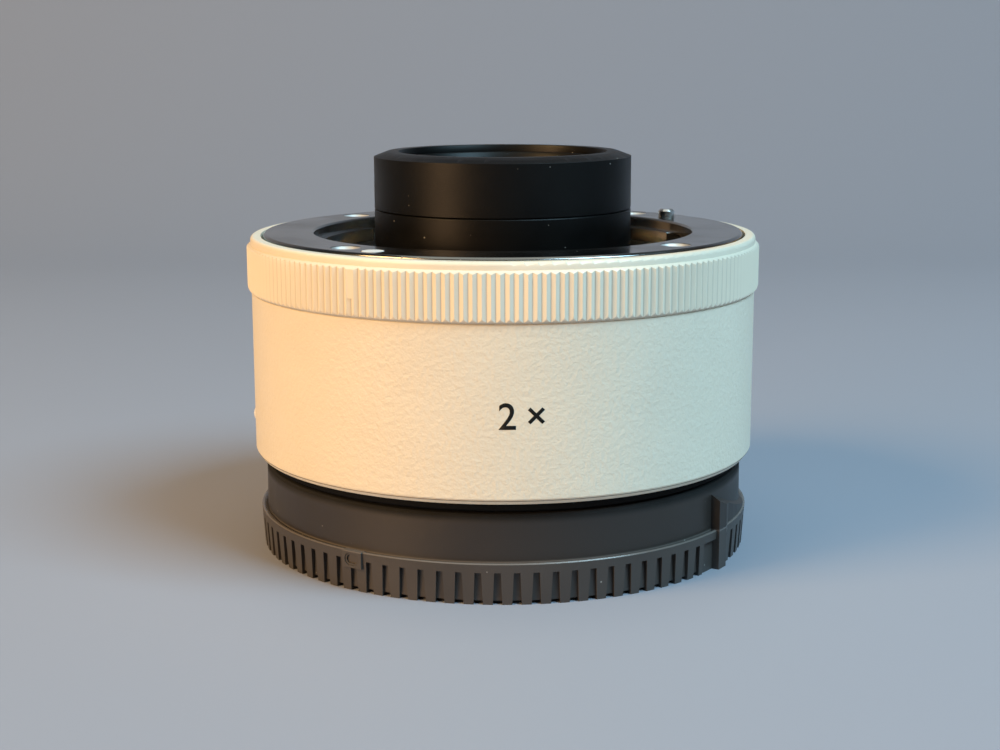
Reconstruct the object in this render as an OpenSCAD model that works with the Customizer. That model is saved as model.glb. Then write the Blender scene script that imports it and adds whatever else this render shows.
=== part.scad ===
// Camera teleconverter, standing on its rear cap.
// The origin is the centre of the cap's underside. +Z runs along the optical axis towards the lens side.
// Angles run anticlockwise from +X, seen from the lens side. The near side of the object faces -Y.

/* [Stack along the axis] */
// Height of the rear cap up to its top edge
cap_h = 10.1; // [9.6:0.1:14]
// Gap between the rear cap and the rear mounting face
cap_gap = 0.3; // [0.1:0.05:0.8]
// Height of the rubber seal band between the mounting face and the barrel
seal_h = 1.1; // [0.8:0.05:1.6]
// Length of the white outer barrel
barrel_h = 19.8; // [17.6:0.1:36]
// Length of the grip ring with its plain rim
ring_h = 6.6; // [5:0.1:9]
// How far the front mount stands out of the grip ring
plate_proud = 0.3; // [0.1:0.05:0.8]
// Length of the lens tube between the front mount and its seam
tube_out = 2.7; // [2.2:0.1:8]
// Length of the front lens cell above the seam
cell_h = 6.85; // [6.6:0.05:9]

/* [Outer barrel and grip ring] */
// Diameter of the grip ring over its ribs
ring_d = 62.4; // [62:0.1:70]
// Height of the grip ribs above the barrel
rib_proud = 0.46; // [0.3:0.02:0.8]
// Depth of the grooves between the pointed ribs
groove_depth = 0.24; // [0.15:0.01:0.4]
// Number of grip ribs
rib_count = 200; // [120:1:260]
// Height of the plain rim above the ribs
rim_h = 0.9; // [0.5:0.05:1.5]
// Wall of the plain rim
rim_wall = 1.22; // [0.8:0.02:1.4]
// Wall of the outer barrel
barrel_wall = 1.84; // [1.6:0.02:2.2]
// Bevel at the lower edge of the barrel
barrel_bevel = 0.42; // [0.2:0.02:0.8]
// Thickness of the barrel's inner lip
lip_t = 1.1; // [0.8:0.05:1.6]
// Step from the barrel's lower edge up to its lip
lip_recess = 0.4; // [0.2:0.05:0.8]

/* [Front mount] */
// Throat of the front mount
throat_d = 46.1; // [45.9:0.1:46.5]
// Thickness of the front mount plate
plate_t = 1.55; // [1.3:0.05:1.9]
// Thickness of the bayonet lugs
lug_t = 1.5; // [1.2:0.05:1.8]
// How far the front lugs reach in from the throat
lug_reach = 0.85; // [0.5:0.05:1.1]
// Angle that one bayonet lug covers
lug_angle = 52; // [40:1:54]
// Angle where the first front lug starts
front_lug_start = 20; // [14:1:24]
// Gap round the front mount plate, inside the rim
plate_gap = 0.33; // [0.15:0.01:0.5]
// Pitch circle of the front mount screws
screw_pcd = 52.4; // [51.4:0.1:53.6]
// Angle of the first front mount screw
screw_start = 48; // [44:1:52]
// Head diameter of the mount screws
screw_head_d = 3.4; // [2.8:0.1:3.6]
// Shank diameter of the mount screws
screw_d = 1.6; // [1.2:0.1:1.8]
// Diameter of the front index dot
dot_d = 2.5; // [1.5:0.1:3]
// Angle of the front index dot
dot_angle = 238; // [234:1:242]

/* [Lock pin and release lever] */
// Distance of the lock pin from the optical axis
pin_r = 25.2; // [25:0.05:25.3]
// Angle of the lock pin
pin_angle = 32; // [28:1:34]
// Diameter of the lock pin
pin_d = 2.1; // [1.8:0.05:2.2]
// How far the lock pin stands out of the front mount
pin_proud = 1.15; // [0.8:0.05:1.6]
// Travel of the lock pin
pin_travel = 1.8; // [1.2:0.1:2]
// Swing of the release lever that draws the pin in, in degrees
lever_swing = 6; // [5:0.5:7]
// Length of the lever's thumb piece along the barrel, in degrees
thumb_angle = 13; // [10:1:16]
// How far the thumb piece stands out of the barrel
thumb_proud = 1.0; // [0.6:0.1:1.6]

/* [Contacts] */
// Angle between two contacts
contact_pitch = 6.3; // [5.6:0.1:6.4]
// Angle of the middle of the contacts
contact_angle = 88; // [86:1:92]
// Diameter of a contact pin's tip
contact_d = 0.9; // [0.6:0.05:1]
// How far a contact pin stands out of its block
contact_proud = 0.9; // [0.75:0.05:1.2]
// Travel of a contact pin
contact_travel = 0.6; // [0.3:0.05:0.65]
// Depth of the front contact block's face behind the mounting face
block_depth = 5.2; // [5:0.1:6]

/* [Lens tube and glass] */
// Outer diameter of the lens tube
tube_d = 31.3; // [31.1:0.05:31.5]
// Height of the chamfer on the front lens cell
cell_chamfer_h = 0.6; // [0.3:0.05:1]
// Width of the chamfer on the front lens cell
cell_chamfer_w = 1.6; // [0.5:0.05:2]
// Depth of the chassis floor behind the front mounting face
floor_depth = 11.7; // [11.4:0.1:13]
// Wall of the front lens cell round its glass
cell_wall = 3.25; // [3.1:0.05:3.6]
// Diameter of the middle glass
middle_glass_d = 20.4; // [19.6:0.1:20.8]
// Wall of the lens tube round the middle glass
tube_wall = 2.8; // [2.4:0.05:3]
// Diameter of the first rear glass
rear_glass_d = 21; // [20:0.1:22]
// Diameter of the last rear glass
last_glass_d = 27; // [26:0.1:27.4]
// Depth of the front glass behind the tip
glass_depth = 1.15; // [1.1:0.05:1.3]

/* [Rear mount] */
// Length of the rear bayonet behind the mounting face
bayonet_len = 5.35; // [5.1:0.05:5.8]
// Outer diameter of the rear bayonet tube
bayonet_d = 43.6; // [43.2:0.1:43.9]
// Wall of the rear bayonet tube
bayonet_wall = 1.2; // [1:0.05:1.3]
// Diameter over the rear lugs
rear_lug_d = 45.8; // [45.2:0.1:45.9]
// Angle where the first rear lug starts
rear_lug_start = 30; // [0:1:119]
// Pitch circle of the rear mount screws
rear_screw_pcd = 50; // [49.4:0.1:50.6]
// Angle of the rear index bead
bead_angle = 178; // [172:1:184]
// Diameter of the rear index bead
bead_d = 2.5; // [2:0.1:3]
// How far the rear index bead stands out of the barrel
bead_proud = 0.7; // [0.3:0.05:1]

/* [Rear cap] */
// Diameter of the cap's plain collar
collar_d = 59; // [57.5:0.1:59.8]
// Diameter of the cap's ribbed skirt at its top
skirt_d = 60.5; // [60:0.1:62]
// Height of the ribbed skirt
skirt_h = 4.75; // [4.2:0.05:5.6]
// Draft of the skirt down to its foot
skirt_draft = 0.3; // [0:0.05:0.5]
// Number of slots round the skirt
slot_count = 88; // [60:1:100]
// Height of the slots
slot_h = 3.7; // [2.5:0.1:4]
// Width of a slot at its top
slot_top_w = 0.72; // [0.5:0.02:0.9]
// Width of a slot at its foot
slot_foot_w = 1.03; // [0.6:0.02:1.2]
// Depth of a slot
slot_depth = 0.6; // [0.4:0.05:1.2]
// Wall of the cap
cap_wall = 1.6; // [1.2:0.05:1.8]
// Twist that frees the rear cap, in degrees
cap_twist = 58; // [56:1:62]
// Angle of the steep wall of the cap's thumb ramp
ramp_angle = 325.3; // [322:0.1:330]
// Height of the thumb ramp at its wall
ramp_h = 8.9; // [6.5:0.1:9.3]
// How far the thumb ramp stands out of the collar at its wall
ramp_proud = 1.1; // [0.8:0.05:1.3]
// Length of the thumb ramp round the cap, in degrees
ramp_run = 45.5; // [42:3.5:56]

/* [Clearances] */
// Gap between pieces that are seated together
seat = 0.05; // [0.02:0.01:0.08]
// Gap round a sliding pin
slide_gap = 0.06; // [0.03:0.01:0.1]
// Gap between pieces that pass each other
pass_gap = 0.25; // [0.15:0.01:0.3]
// Gap inside the seam between lens tube and front lens cell
seam_gap = 0.08; // [0.05:0.01:0.3]

/* [Hidden] */
$fn = 180;

// Heights of the main faces
flange_z = cap_h + cap_gap;
barrel_z0 = flange_z + seal_h;
lip_z0 = barrel_z0 + lip_recess;
lip_z1 = lip_z0 + lip_t;
ring_z0 = barrel_z0 + barrel_h;
rim_z = ring_z0 + ring_h;
rib_z1 = rim_z - rim_h;
plate_z = rim_z + plate_proud;
plate_z0 = plate_z - plate_t;
lug_z0 = plate_z0 - lug_t;
seam_z = plate_z + tube_out;
tip_z = seam_z + cell_h;
floor_z = plate_z - floor_depth;
floor_t = 2;
floor_z0 = floor_z - floor_t;

// Radii of the shells, from the outside in
ring_r = ring_d / 2;
barrel_r = ring_r - rib_proud;
barrel_in_r = barrel_r - barrel_wall;
chassis_r = barrel_in_r - 2 * seat;
rim_in_r = barrel_r - rim_wall;
plate_r = rim_in_r - plate_gap;
throat_r = throat_d / 2;
tube_r = tube_d / 2;
bayonet_r = bayonet_d / 2;
bayonet_in_r = bayonet_r - bayonet_wall;

// Chassis
core_r = 26.6;
core_in_r = 25.2;
head_t = 3;
head_in_r = core_in_r - 0.55;
foot_t = 2.2;
foot_in_r = bayonet_r + 0.8;
ledge_in_r = throat_r + 0.45;
ledge_t = 1;
spring_z = lug_z0 - 1.8;

// Grip ring
rib_pitch = 360 / rib_count;
root_r = ring_r - groove_depth;
rib_chamfer = 0.4;
rim_round = 0.45;
land_sink = 0.04;
land_half = 0.46 * rib_pitch;
land_z0 = rib_z1 - 0.62 * (rib_z1 - ring_z0);
foot_h = 0.75;
foot_steps = 3;
foot_round = (foot_h * foot_h + rib_proud * rib_proud) / (2 * rib_proud);
joint_bevel = 0.14;

// Front mount screws and dot
screw_r = screw_pcd / 2;
screw_cone_h = (screw_head_d - screw_d) / 2;
screw_bite = 2.6;
cross_w = 0.45;
cross_depth = 0.7;
head_sink = 0.3;
head_face_r = screw_d / 2 + (screw_head_d - screw_d) / 2 * (1 - head_sink / screw_cone_h);
dot_r = screw_r + 0.7;
dot_depth = 0.3;
spring_t = 0.25;
spring_in_r = throat_r - 0.35;
spring_out_r = head_in_r - 0.15;

// Lock pin, its boss and its lever
collar_r = pin_d / 2 + 0.4;
collar_z1 = lug_z0 - 0.1;
collar_z0 = collar_z1 - 1.45;
pin_bore_r = collar_r + 0.1;
boss_r = pin_bore_r + 0.6;
tail_r = pin_d / 2 - 0.15;
pin_spring_z0 = collar_z0 - 4;
peg_z = floor_z + 1.4;
peg_r = 0.6;
pin_tail_z = peg_z - peg_r - 0.1;
lever_t = 0.8;
lever_out_r = barrel_in_r - 0.5;
lever_in_r = lever_out_r - lever_t;
lever_z0 = peg_z - pin_travel - 2.3;
lever_z1 = peg_z + 1.9;
lever_a0 = pin_angle - lever_swing - 3.5;
lever_a1 = lever_a0 + 37.5;
guide_r = 0.7;
guide_z = lever_z0 + 1.4;
guide_angles = [pin_angle + 12, pin_angle + 24];
thumb_a0 = pin_angle + 7.5;
thumb_z0 = peg_z - 2.1;
thumb_z1 = lever_z1 + 0.8;
stem_inset = 1.5;
stem_a0 = thumb_a0 + stem_inset;
stem_a1 = thumb_a0 + thumb_angle - stem_inset;
stem_z0 = thumb_z0 + 1.3;
stem_z1 = lever_z1 - 0.5;
ridge_count = 5;
ridge_h = 0.3;

// Contacts: their number is fixed by the names in NODES
contact_count = 10;
contact_r = 20.1;
contact_span = contact_pitch * (contact_count - 1);
block_end = 6.6;
block_half = contact_span / 2 + block_end;
block_screw_a = contact_span / 2 + 4;
block_in_r = contact_r - 1.7;
block_out_r = contact_r + 1.7;
block_z = plate_z - block_depth;
block_roof = 1.2;
block_base = 1.1;
pocket_r = 0.8;
shoulder_r = 0.72;
shoulder_h = 0.8;
contact_tail_r = 0.3;
pocket_z0 = floor_z + block_base;
pocket_z1 = block_z - block_roof;
shoulder_z1 = pocket_z1 - 0.1;
shoulder_z0 = shoulder_z1 - shoulder_h;
contact_tail_z = floor_z + contact_travel + 0.2;
block_screw_r = 0.5;
block_head_r = 0.8;
flex_t = 0.15;
flex_half = 11;
flex_drop = 2;

// Front glass: a cemented pair in the front lens cell
cement = 0.02;
front_r1 = 60;
front_r2 = 45;
front_r3 = 60;
glass_1_t = 3.9;
glass_2_t = 1.3;
front_glass_r = tube_r - cell_wall;
front_glass_d = 2 * front_glass_r;
glass_1_z1 = tip_z - glass_depth;
glass_1_z0 = glass_1_z1 - glass_1_t;
glass_2_z1 = glass_1_z0 - cement;
glass_2_z0 = glass_2_z1 - glass_2_t;
front_seat_z = glass_2_z0 - sag(front_r3, front_glass_r) - seat / 2;
spigot_r = tube_r - 1.25;
cell_z0 = front_seat_z - 1.7;
cell_bore_r = front_glass_r + seat;
cell_mouth_r = tube_r - cell_chamfer_w;
ring_in_r = front_glass_r - 1.2;
ring_z1 = tip_z - 0.85;
ring_glass_z = glass_1_z1 - sag(front_r1, ring_in_r) + seat;

// Middle glass: two cemented pairs on a seat in the lens tube, built up from the rear
middle_r = middle_glass_d / 2;
middle_bore_r = middle_r + seat;
seat_z = floor_z - 5.85;
seat_lip_r = middle_r - 0.8;
seat_lip_t = 1.65;
tube_z0 = seat_z - seat_lip_t;
glass_6_r1 = 18;
glass_6_r2 = 40;
glass_6_t = sag(glass_6_r1, middle_r) + sag(glass_6_r2, middle_r) + 0.7;
glass_6_z0 = seat_z - sag(glass_6_r2, seat_lip_r) + seat / 2;
glass_6_z1 = glass_6_z0 + glass_6_t;
glass_5_r1 = 24;
glass_5_t = 1.2;
glass_5_z0 = glass_6_z1 + cement;
glass_5_z1 = glass_5_z0 + glass_5_t;
spacer_t = 0.95;
spacer_z0 = glass_5_z1 + sag(glass_5_r1, middle_r) + seat / 2;
spacer_z1 = spacer_z0 + spacer_t;
spacer_in_r = middle_r - 0.9;
glass_4_r2 = 22;
glass_4_t = 1.2;
glass_4_z0 = spacer_z1 + sag(glass_4_r2, middle_r) + seat / 2;
glass_4_z1 = glass_4_z0 + glass_4_t;
glass_3_r1 = 28;
glass_3_r2 = 30;
glass_3_t = sag(glass_3_r1, middle_r) + sag(glass_3_r2, middle_r) + 0.8;
glass_3_z0 = glass_4_z1 + cement;
glass_3_z1 = glass_3_z0 + glass_3_t;
tube_ring_in_r = middle_r - 1;
tube_ring_z0 = glass_3_z1 - sag(glass_3_r1, tube_ring_in_r) + seat;
tube_ring_z1 = tube_ring_z0 + 1.3;
tube_low_r = middle_bore_r + tube_wall;
floor_in_r = tube_low_r + pass_gap;
tube_flange_r = tube_r + 2.45;
tube_flange_t = 1.5;
tube_screw_r = tube_r + 1.25;

// Rear glass in its own cell under the chassis floor
rear_r = rear_glass_d / 2;
last_r = last_glass_d / 2;
rear_cell_r = last_r + 1.7;
rear_flange_r = rear_cell_r + 4.8;
rear_flange_t = 1.8;
rear_screw_r = rear_cell_r + 2.9;
rear_ledge_z1 = tube_z0 - 0.1;
rear_ledge_t = 0.7;
rear_ledge_z0 = rear_ledge_z1 - rear_ledge_t;
glass_7_r1 = 26;
glass_7_r2 = 50;
glass_7_t = 1.2;
glass_7_z1 = rear_ledge_z0 - sag(glass_7_r1, rear_r) - seat;
glass_7_z0 = glass_7_z1 - glass_7_t;
rear_step_z = glass_7_z0 - sag(glass_7_r2, rear_r) - seat / 2;
rear_spacer_t = 0.48;
rear_spacer_in_r = rear_r - 0.6;
glass_8_r1 = 70;
glass_8_r2 = 45;
glass_8_t = 4.2;
glass_8_z1 = rear_step_z - rear_spacer_t + sag(glass_8_r1, rear_spacer_in_r) - seat;
glass_8_z0 = glass_8_z1 - glass_8_t;
rear_ring_in_r = last_r - 1.6;
rear_ring_z1 = glass_8_z0 + sag(glass_8_r2, rear_ring_in_r) - seat;
rear_ring_t = 1;
rear_cell_z0 = rear_ring_z1 - rear_ring_t - 0.2;
small_screw_r = 0.6;
small_head_r = 0.9;
small_head_t = 0.7;

// Circuit board
board_z1 = floor_z0 - 3.9;
board_t = 0.8;
board_in_r = rear_cell_r + 1.8;
board_out_r = core_in_r - 0.8;
board_post_r = 1.3;
board_screw_r = board_out_r - 2;
board_screw_bite = 2.2;
board_gap_a0 = 28;
board_gap_a1 = 52;
board_angles = [20, 150, 270];
chip_angles = [175, 205, 235, 300, 325];
chip_t = 0.9;

// Rear mount
bayonet_z0 = flange_z - bayonet_len;
rear_lug_z1 = flange_z - plate_t - lug_t - 0.1;
rear_lug_z0 = rear_lug_z1 - lug_t;
flange_t = seal_h + lip_recess;
flange_r = barrel_in_r - 0.6;
mount_boss_r = flange_r - 2;
shim_t = 0.15;
mount_top_z = lip_z1 - shim_t;
seal_r = barrel_in_r + 0.4;
lock_notch_r = pin_d / 2 + 0.2;
lock_notch_depth = 1.2;
rear_screw_start = 75;
rear_screw_bite = 3.2;
baffle_z1 = flange_z - 3;
baffle_t = 0.8;
baffle_w = 29;
baffle_l = 21;
baffle_corner = 3;
rear_block_r = bayonet_in_r - seat;
rear_block_in_r = rear_block_r - 3.15;
rear_block_z0 = flange_z - 4.4;
rear_block_z1 = flange_z + 2.1;
pad_r = (rear_block_r + rear_block_in_r) / 2;
pad_w = 1.2;
pad_l = 2.2;
pad_t = 0.2;
block_bolt_z = flange_z - 1.4;

// Rear cap
collar_r_cap = collar_d / 2;
skirt_r = skirt_d / 2;
cap_floor_z0 = 0.4;
cap_floor_z1 = 1.8;
cap_in_r = collar_r_cap - cap_wall;
cap_ring_in_r = rear_lug_d / 2 + pass_gap;
cap_ring_r = cap_ring_in_r + 1.5;
cap_ring_z1 = cap_h - 0.3;
cap_lug_z1 = flange_z - plate_t - 0.1;
cap_lug_z0 = rear_lug_z1 + pass_gap;
cap_lug_in_r = bayonet_r + 2 * pass_gap;
cap_web_count = 12;
cap_web_t = 1;
cap_web_z1 = 6;
pad_angle = bead_angle + cap_twist;
cap_pad_w = 2.65;
cap_pad_z0 = skirt_h - 1.95;
cap_pad_z1 = skirt_h;
cap_pad_proud = 0.2;
oval_r = 0.72;
oval_half = 0.3;
oval_dish = 0.12;
oval_lip = 0.22;
oval_depth = 0.3;
ledge_dip = 0.2;
foot_groove_h = 0.42;
foot_groove_w = 0.6;
window_angle = 5.1;
window_depth = 0.55;
ramp_step = 3.5;
ramp_body = ramp_step;
ramp_z0 = slot_h + 0.4;
ramp_fall = 19.9;
ramp_lean = 30;
ramp_inset = 0.2;

// Depth of a spherical surface of radius r at the distance rad from its axis
function sag(r, rad) = r - sqrt(r * r - rad * rad);

// A point of the plan at radius r and angle a
function polar(r, a) = [r * cos(a), r * sin(a)];

// Ring of square section about the optical axis
module ring_band(r_out, r_in, z0, z1) {
  rotate_extrude()
    translate([r_in, z0])
      square([r_out - r_in, z1 - z0]);
}

// Part of such a ring, between two angles
module arc_band(r_out, r_in, z0, z1, a0, a1) {
  rotate([0, 0, a0])
    rotate_extrude(angle = a1 - a0)
      translate([r_in, z0])
        square([r_out - r_in, z1 - z0]);
}

// Places its children at a radius and an angle
module at_polar(r, a) {
  rotate([0, 0, a])
    translate([r, 0, 0])
      children();
}

// Round post along the axis
module post(r, z0, z1) {
  translate([0, 0, z0])
    cylinder(r = r, h = z1 - z0);
}

// Round post along a radius, at the angle a and the height z
module radial_post(r, r0, r1, a, z) {
  rotate([0, 0, a])
    translate([r0, 0, z])
      rotate([0, 90, 0])
        cylinder(r = r, h = r1 - r0);
}

// Slot with round ends along a radius, from one angle and height to another
module radial_slot(r, r0, r1, from_a, from_z, to_a, to_z) {
  mean_r = (r0 + r1) / 2;
  run = mean_r * 2 * sin((to_a - from_a) / 2);
  rise = to_z - from_z;
  rotate([0, 0, (from_a + to_a) / 2])
    translate([r0, 0, (from_z + to_z) / 2])
      rotate([90, 0, 90])
        linear_extrude(r1 - r0) {
          translate([-run / 2, -rise / 2])
            circle(r);
          translate([run / 2, rise / 2])
            circle(r);
          rotate(atan2(rise, run))
            square([norm([run, rise]), 1.98 * r], center = true);
        }
}

// Lens that bulges on both sides
module biconvex_lens(z1, z0, d, r1, r0) {
  intersection() {
    post(d / 2, z0, z1);
    translate([0, 0, z1 - r1])
      sphere(r1);
    translate([0, 0, z0 + r0])
      sphere(r0);
  }
}

// Lens that is hollow on both sides
module biconcave_lens(z1, z0, d, r1, r0) {
  difference() {
    post(d / 2, z0 - sag(r0, d / 2), z1 + sag(r1, d / 2));
    translate([0, 0, z1 + r1])
      sphere(r1);
    translate([0, 0, z0 - r0])
      sphere(r0);
  }
}

// Coil spring between two heights, as one swept tube
module coil(mean_r, wire_r, z0, z1, turns) {
  sides = 6;
  steps = round(turns * 8);
  low = z0 + wire_r;
  rise = z1 - z0 - 2 * wire_r;
  points = [
    for (i = [0 : steps])
      let (a = 360 * turns * i / steps, z = low + rise * i / steps)
        for (j = [0 : sides - 1])
          let (r = mean_r + wire_r * cos(360 * j / sides))
            [r * cos(a), r * sin(a), z + wire_r * sin(360 * j / sides)]
  ];
  walls = [
    for (i = [0 : steps - 1])
      for (j = [0 : sides - 1])
        let (k = (j + 1) % sides)
          each [
            [i * sides + j, (i + 1) * sides + k, i * sides + k],
            [i * sides + j, (i + 1) * sides + j, (i + 1) * sides + k]
          ]
  ];
  first = [for (j = [1 : sides - 2]) [0, j, j + 1]];
  last = [for (j = [1 : sides - 2]) [steps * sides, steps * sides + j + 1, steps * sides + j]];
  polyhedron(points, concat(walls, first, last));
}

// Countersunk screw with a cross recess, head up, its face a little below a plate whose face is at z
module countersunk_screw(z, bite) {
  face_z = z - head_sink;
  difference() {
    union() {
      translate([0, 0, z - screw_cone_h])
        cylinder(r1 = screw_d / 2, r2 = head_face_r, h = screw_cone_h - head_sink);
      post(screw_d / 2, z - bite, face_z - (screw_cone_h - head_sink) / 2);
    }
    for (turn = [0, 90])
      rotate([0, 0, turn])
        translate([-screw_head_d / 4, -cross_w / 2, face_z - cross_depth])
          cube([screw_head_d / 2, cross_w, cross_depth + 1]);
  }
}

// Room for that screw
module countersunk_hole(z, bite) {
  translate([0, 0, z - screw_cone_h - seat])
    cylinder(r1 = screw_d / 2, r2 = screw_head_d / 2 + seat, h = screw_cone_h + seat);
  post(screw_d / 2 + seat, z - bite - 0.3, z);
}

// Small cheese-head screw, head up, its face at z
module small_screw(z, bite) {
  difference() {
    union() {
      post(small_head_r, z - small_head_t, z);
      post(small_screw_r, z - bite, z - small_head_t / 2);
    }
    translate([-small_head_r, -cross_w / 2, z - small_head_t / 2])
      cube([2 * small_head_r, cross_w, small_head_t]);
  }
}

// Room for that screw
module small_screw_hole(z, bite) {
  post(small_head_r + seat, z - small_head_t, z + 1);
  post(small_screw_r + seat, z - bite - 0.2, z);
}

// Four places of the mount screws on a pitch circle
module on_screws(r, start) {
  for (i = [0 : 3])
    at_polar(r, start + 90 * i)
      children();
}

// Plan of the grip: pointed ribs, with a groove at the index angle
module grip_plan() {
  first = dot_angle - rib_pitch / 2;
  polygon([
    for (i = [0 : rib_count - 1])
      let (a = first + i * rib_pitch)
        each [polar(ring_r, a), polar(root_r, a + rib_pitch / 2)]
  ]);
}

// How far the rounded lower end of the grip draws in, at the height h above its edge
function foot_inset(h) = foot_round - sqrt(foot_round * foot_round - (foot_h - h) * (foot_h - h));

// Section of the grip's outside: rounded in at its foot, bevelled at its top
module grip_section() {
  over = 0.02;
  polygon(concat(
    [[0, ring_z0]],
    [
      for (i = [0 : foot_steps - 1])
        let (h = foot_h * i / foot_steps)
          [ring_r - foot_inset(h), ring_z0 + h]
    ],
    [
      [ring_r + over, ring_z0 + foot_h + over * 5],
      [ring_r + over, rib_z1 - rib_chamfer - over],
      [ring_r - rib_chamfer, rib_z1],
      [0, rib_z1]
    ]
  ));
}

module outer_barrel() {
  color("ivory")
    difference() {
      rotate_extrude()
        polygon([
          [barrel_r - barrel_bevel, barrel_z0],
          [barrel_r - 0.1, barrel_z0 + barrel_bevel],
          [barrel_r - 0.1, barrel_z0 + barrel_bevel + 0.12],
          [barrel_r, barrel_z0 + barrel_bevel + 0.22],
          [barrel_r, ring_z0 - joint_bevel],
          [barrel_r - joint_bevel, ring_z0],
          [barrel_in_r, ring_z0],
          [barrel_in_r, lip_z1],
          [mount_boss_r + 0.1, lip_z1],
          [mount_boss_r + 0.1, lip_z0],
          [barrel_in_r, lip_z0],
          [barrel_in_r, barrel_z0]
        ]);
      arc_band(
        barrel_r + 1, barrel_in_r - 0.1,
        stem_z0 - pass_gap, stem_z1 + pass_gap,
        stem_a0 - 0.5, stem_a1 + lever_swing + 0.5
      );
      radial_post(bead_d / 2 + seat, barrel_r - 1, barrel_r + 1, bead_angle, bead_z());
    }
}

// Height of the rear index bead above the barrel's lower edge
function bead_z() = barrel_z0 + 3.4;

module grip_ring() {
  color("ivory")
    difference() {
      union() {
        intersection() {
          union() {
            translate([0, 0, ring_z0])
              linear_extrude(rib_z1 - ring_z0)
                grip_plan();
            arc_band(
              ring_r - land_sink, root_r - 0.2, land_z0, rib_z1,
              dot_angle - land_half, dot_angle + land_half
            );
          }
          rotate_extrude()
            grip_section();
        }
        rotate_extrude() {
          translate([barrel_in_r, rib_z1 - 0.2])
            square([barrel_r - barrel_in_r, rim_h + 0.2 - rim_round]);
          translate([barrel_in_r, rib_z1])
            square([barrel_r - barrel_in_r - rim_round, rim_h]);
          translate([barrel_r - rim_round, rim_z - rim_round])
            circle(rim_round, $fn = 32);
        }
      }
      post(chassis_r + seat, ring_z0 - 1, plate_z0 - seat);
      post(rim_in_r, plate_z0 - 2 * seat, rim_z + 1);
    }
}

module front_mount_plate() {
  edge = 0.25;
  throat_bevel = 0.2;
  color("silver")
    difference() {
      union() {
        rotate_extrude()
          polygon([
            [throat_r, plate_z0],
            [plate_r, plate_z0],
            [plate_r, plate_z - edge],
            [plate_r - edge, plate_z],
            [throat_r + throat_bevel, plate_z],
            [throat_r, plate_z - throat_bevel]
          ]);
        for (i = [0 : 2])
          arc_band(
            head_in_r - 0.3, throat_r - lug_reach, lug_z0, plate_z0 + 0.2,
            front_lug_start + 120 * i, front_lug_start + 120 * i + lug_angle
          );
      }
      on_screws(screw_r, screw_start)
        countersunk_hole(plate_z, plate_t + screw_bite);
      at_polar(dot_r, dot_angle)
        post(dot_d / 2 + seat / 2, plate_z - dot_depth, plate_z + 1);
      at_polar(pin_r, pin_angle)
        post(pin_d / 2 + slide_gap, lug_z0 - 1, plate_z + 1);
    }
}

module front_mount_spring() {
  arm_half = 17;
  arm_gap = 0.3;
  arm_r = (spring_in_r + spring_out_r) / 2;
  color("gainsboro")
    difference() {
      union() {
        ring_band(spring_out_r, spring_in_r, spring_z, spring_z + spring_t);
        for (i = [0 : 2])
          arc_band(
            arm_r - arm_gap - 0.1, spring_in_r + 0.1, spring_z, spring_z + 3 * spring_t,
            front_lug_start + 120 * i + lug_angle / 2 - 3, front_lug_start + 120 * i + lug_angle / 2 + 3
          );
      }
      for (i = [0 : 2]) {
        middle = front_lug_start + 120 * i + lug_angle / 2;
        arc_band(
          arm_r, arm_r - arm_gap, spring_z - spring_t, spring_z + 4 * spring_t,
          middle - arm_half, middle + arm_half
        );
      }
      at_polar(pin_r, pin_angle)
        post(boss_r + seat, spring_z - spring_t, spring_z + 4 * spring_t);
    }
}

module front_mount_screws() {
  color("gainsboro")
    on_screws(screw_r, screw_start)
      countersunk_screw(plate_z, plate_t + screw_bite);
}

module front_index_dot() {
  color("white")
    at_polar(dot_r, dot_angle)
      post(dot_d / 2, plate_z - dot_depth + seat / 2, plate_z + 0.02);
}

module rear_index_bead() {
  dome_r = (bead_d * bead_d / 4 + bead_proud * bead_proud) / (2 * bead_proud);
  color("white")
    rotate([0, 0, bead_angle])
      translate([barrel_r - 1 + seat, 0, bead_z()])
        rotate([0, 90, 0]) {
          intersection() {
            cylinder(d = bead_d, h = 1 + bead_proud);
            translate([0, 0, 1 - seat + bead_proud - dome_r])
              sphere(dome_r);
          }
        }
}

module front_contact_block() {
  color("dimgray")
    difference() {
      arc_band(
        block_out_r, block_in_r, floor_z, block_z,
        contact_angle - block_half, contact_angle + block_half
      );
      for (i = [1 : contact_count])
        at_polar(contact_r, pin_place(i)) {
          post(contact_d / 2 + slide_gap, floor_z, block_z + 1);
          post(pocket_r, pocket_z0, pocket_z1);
        }
      for (side = [-1, 1])
        at_polar(contact_r, contact_angle + side * block_screw_a) {
          post(block_screw_r + seat, floor_z - 1, block_z);
          post(block_head_r + seat, block_z - 1, block_z + 1);
        }
    }
}

// Angle of one contact
function pin_place(i) = contact_angle - contact_span / 2 + (i - 1) * contact_pitch;

module front_block_screws() {
  color("silver")
    for (side = [-1, 1])
      at_polar(contact_r, contact_angle + side * block_screw_a) {
        post(block_screw_r, floor_z0 + 0.4, block_z - 0.6);
        post(block_head_r, block_z - 1 + seat, block_z - 0.2);
      }
}

module contact_pin(i) {
  tip_r = contact_d / 2;
  color("gold")
    at_polar(contact_r, pin_place(i)) {
      translate([0, 0, block_z + contact_proud - tip_r])
        sphere(tip_r, $fn = 32);
      post(tip_r, shoulder_z0, block_z + contact_proud - tip_r);
      post(shoulder_r, shoulder_z0, shoulder_z1);
      post(contact_tail_r, contact_tail_z, shoulder_z0 + 0.1);
    }
}

module contact_springs() {
  wire_r = 0.09;
  color("silver")
    for (i = [1 : contact_count])
      at_polar(contact_r, pin_place(i))
        coil((pocket_r + contact_tail_r) / 2, wire_r, pocket_z0 + 0.03, shoulder_z0 - 0.03, 3);
}

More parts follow.
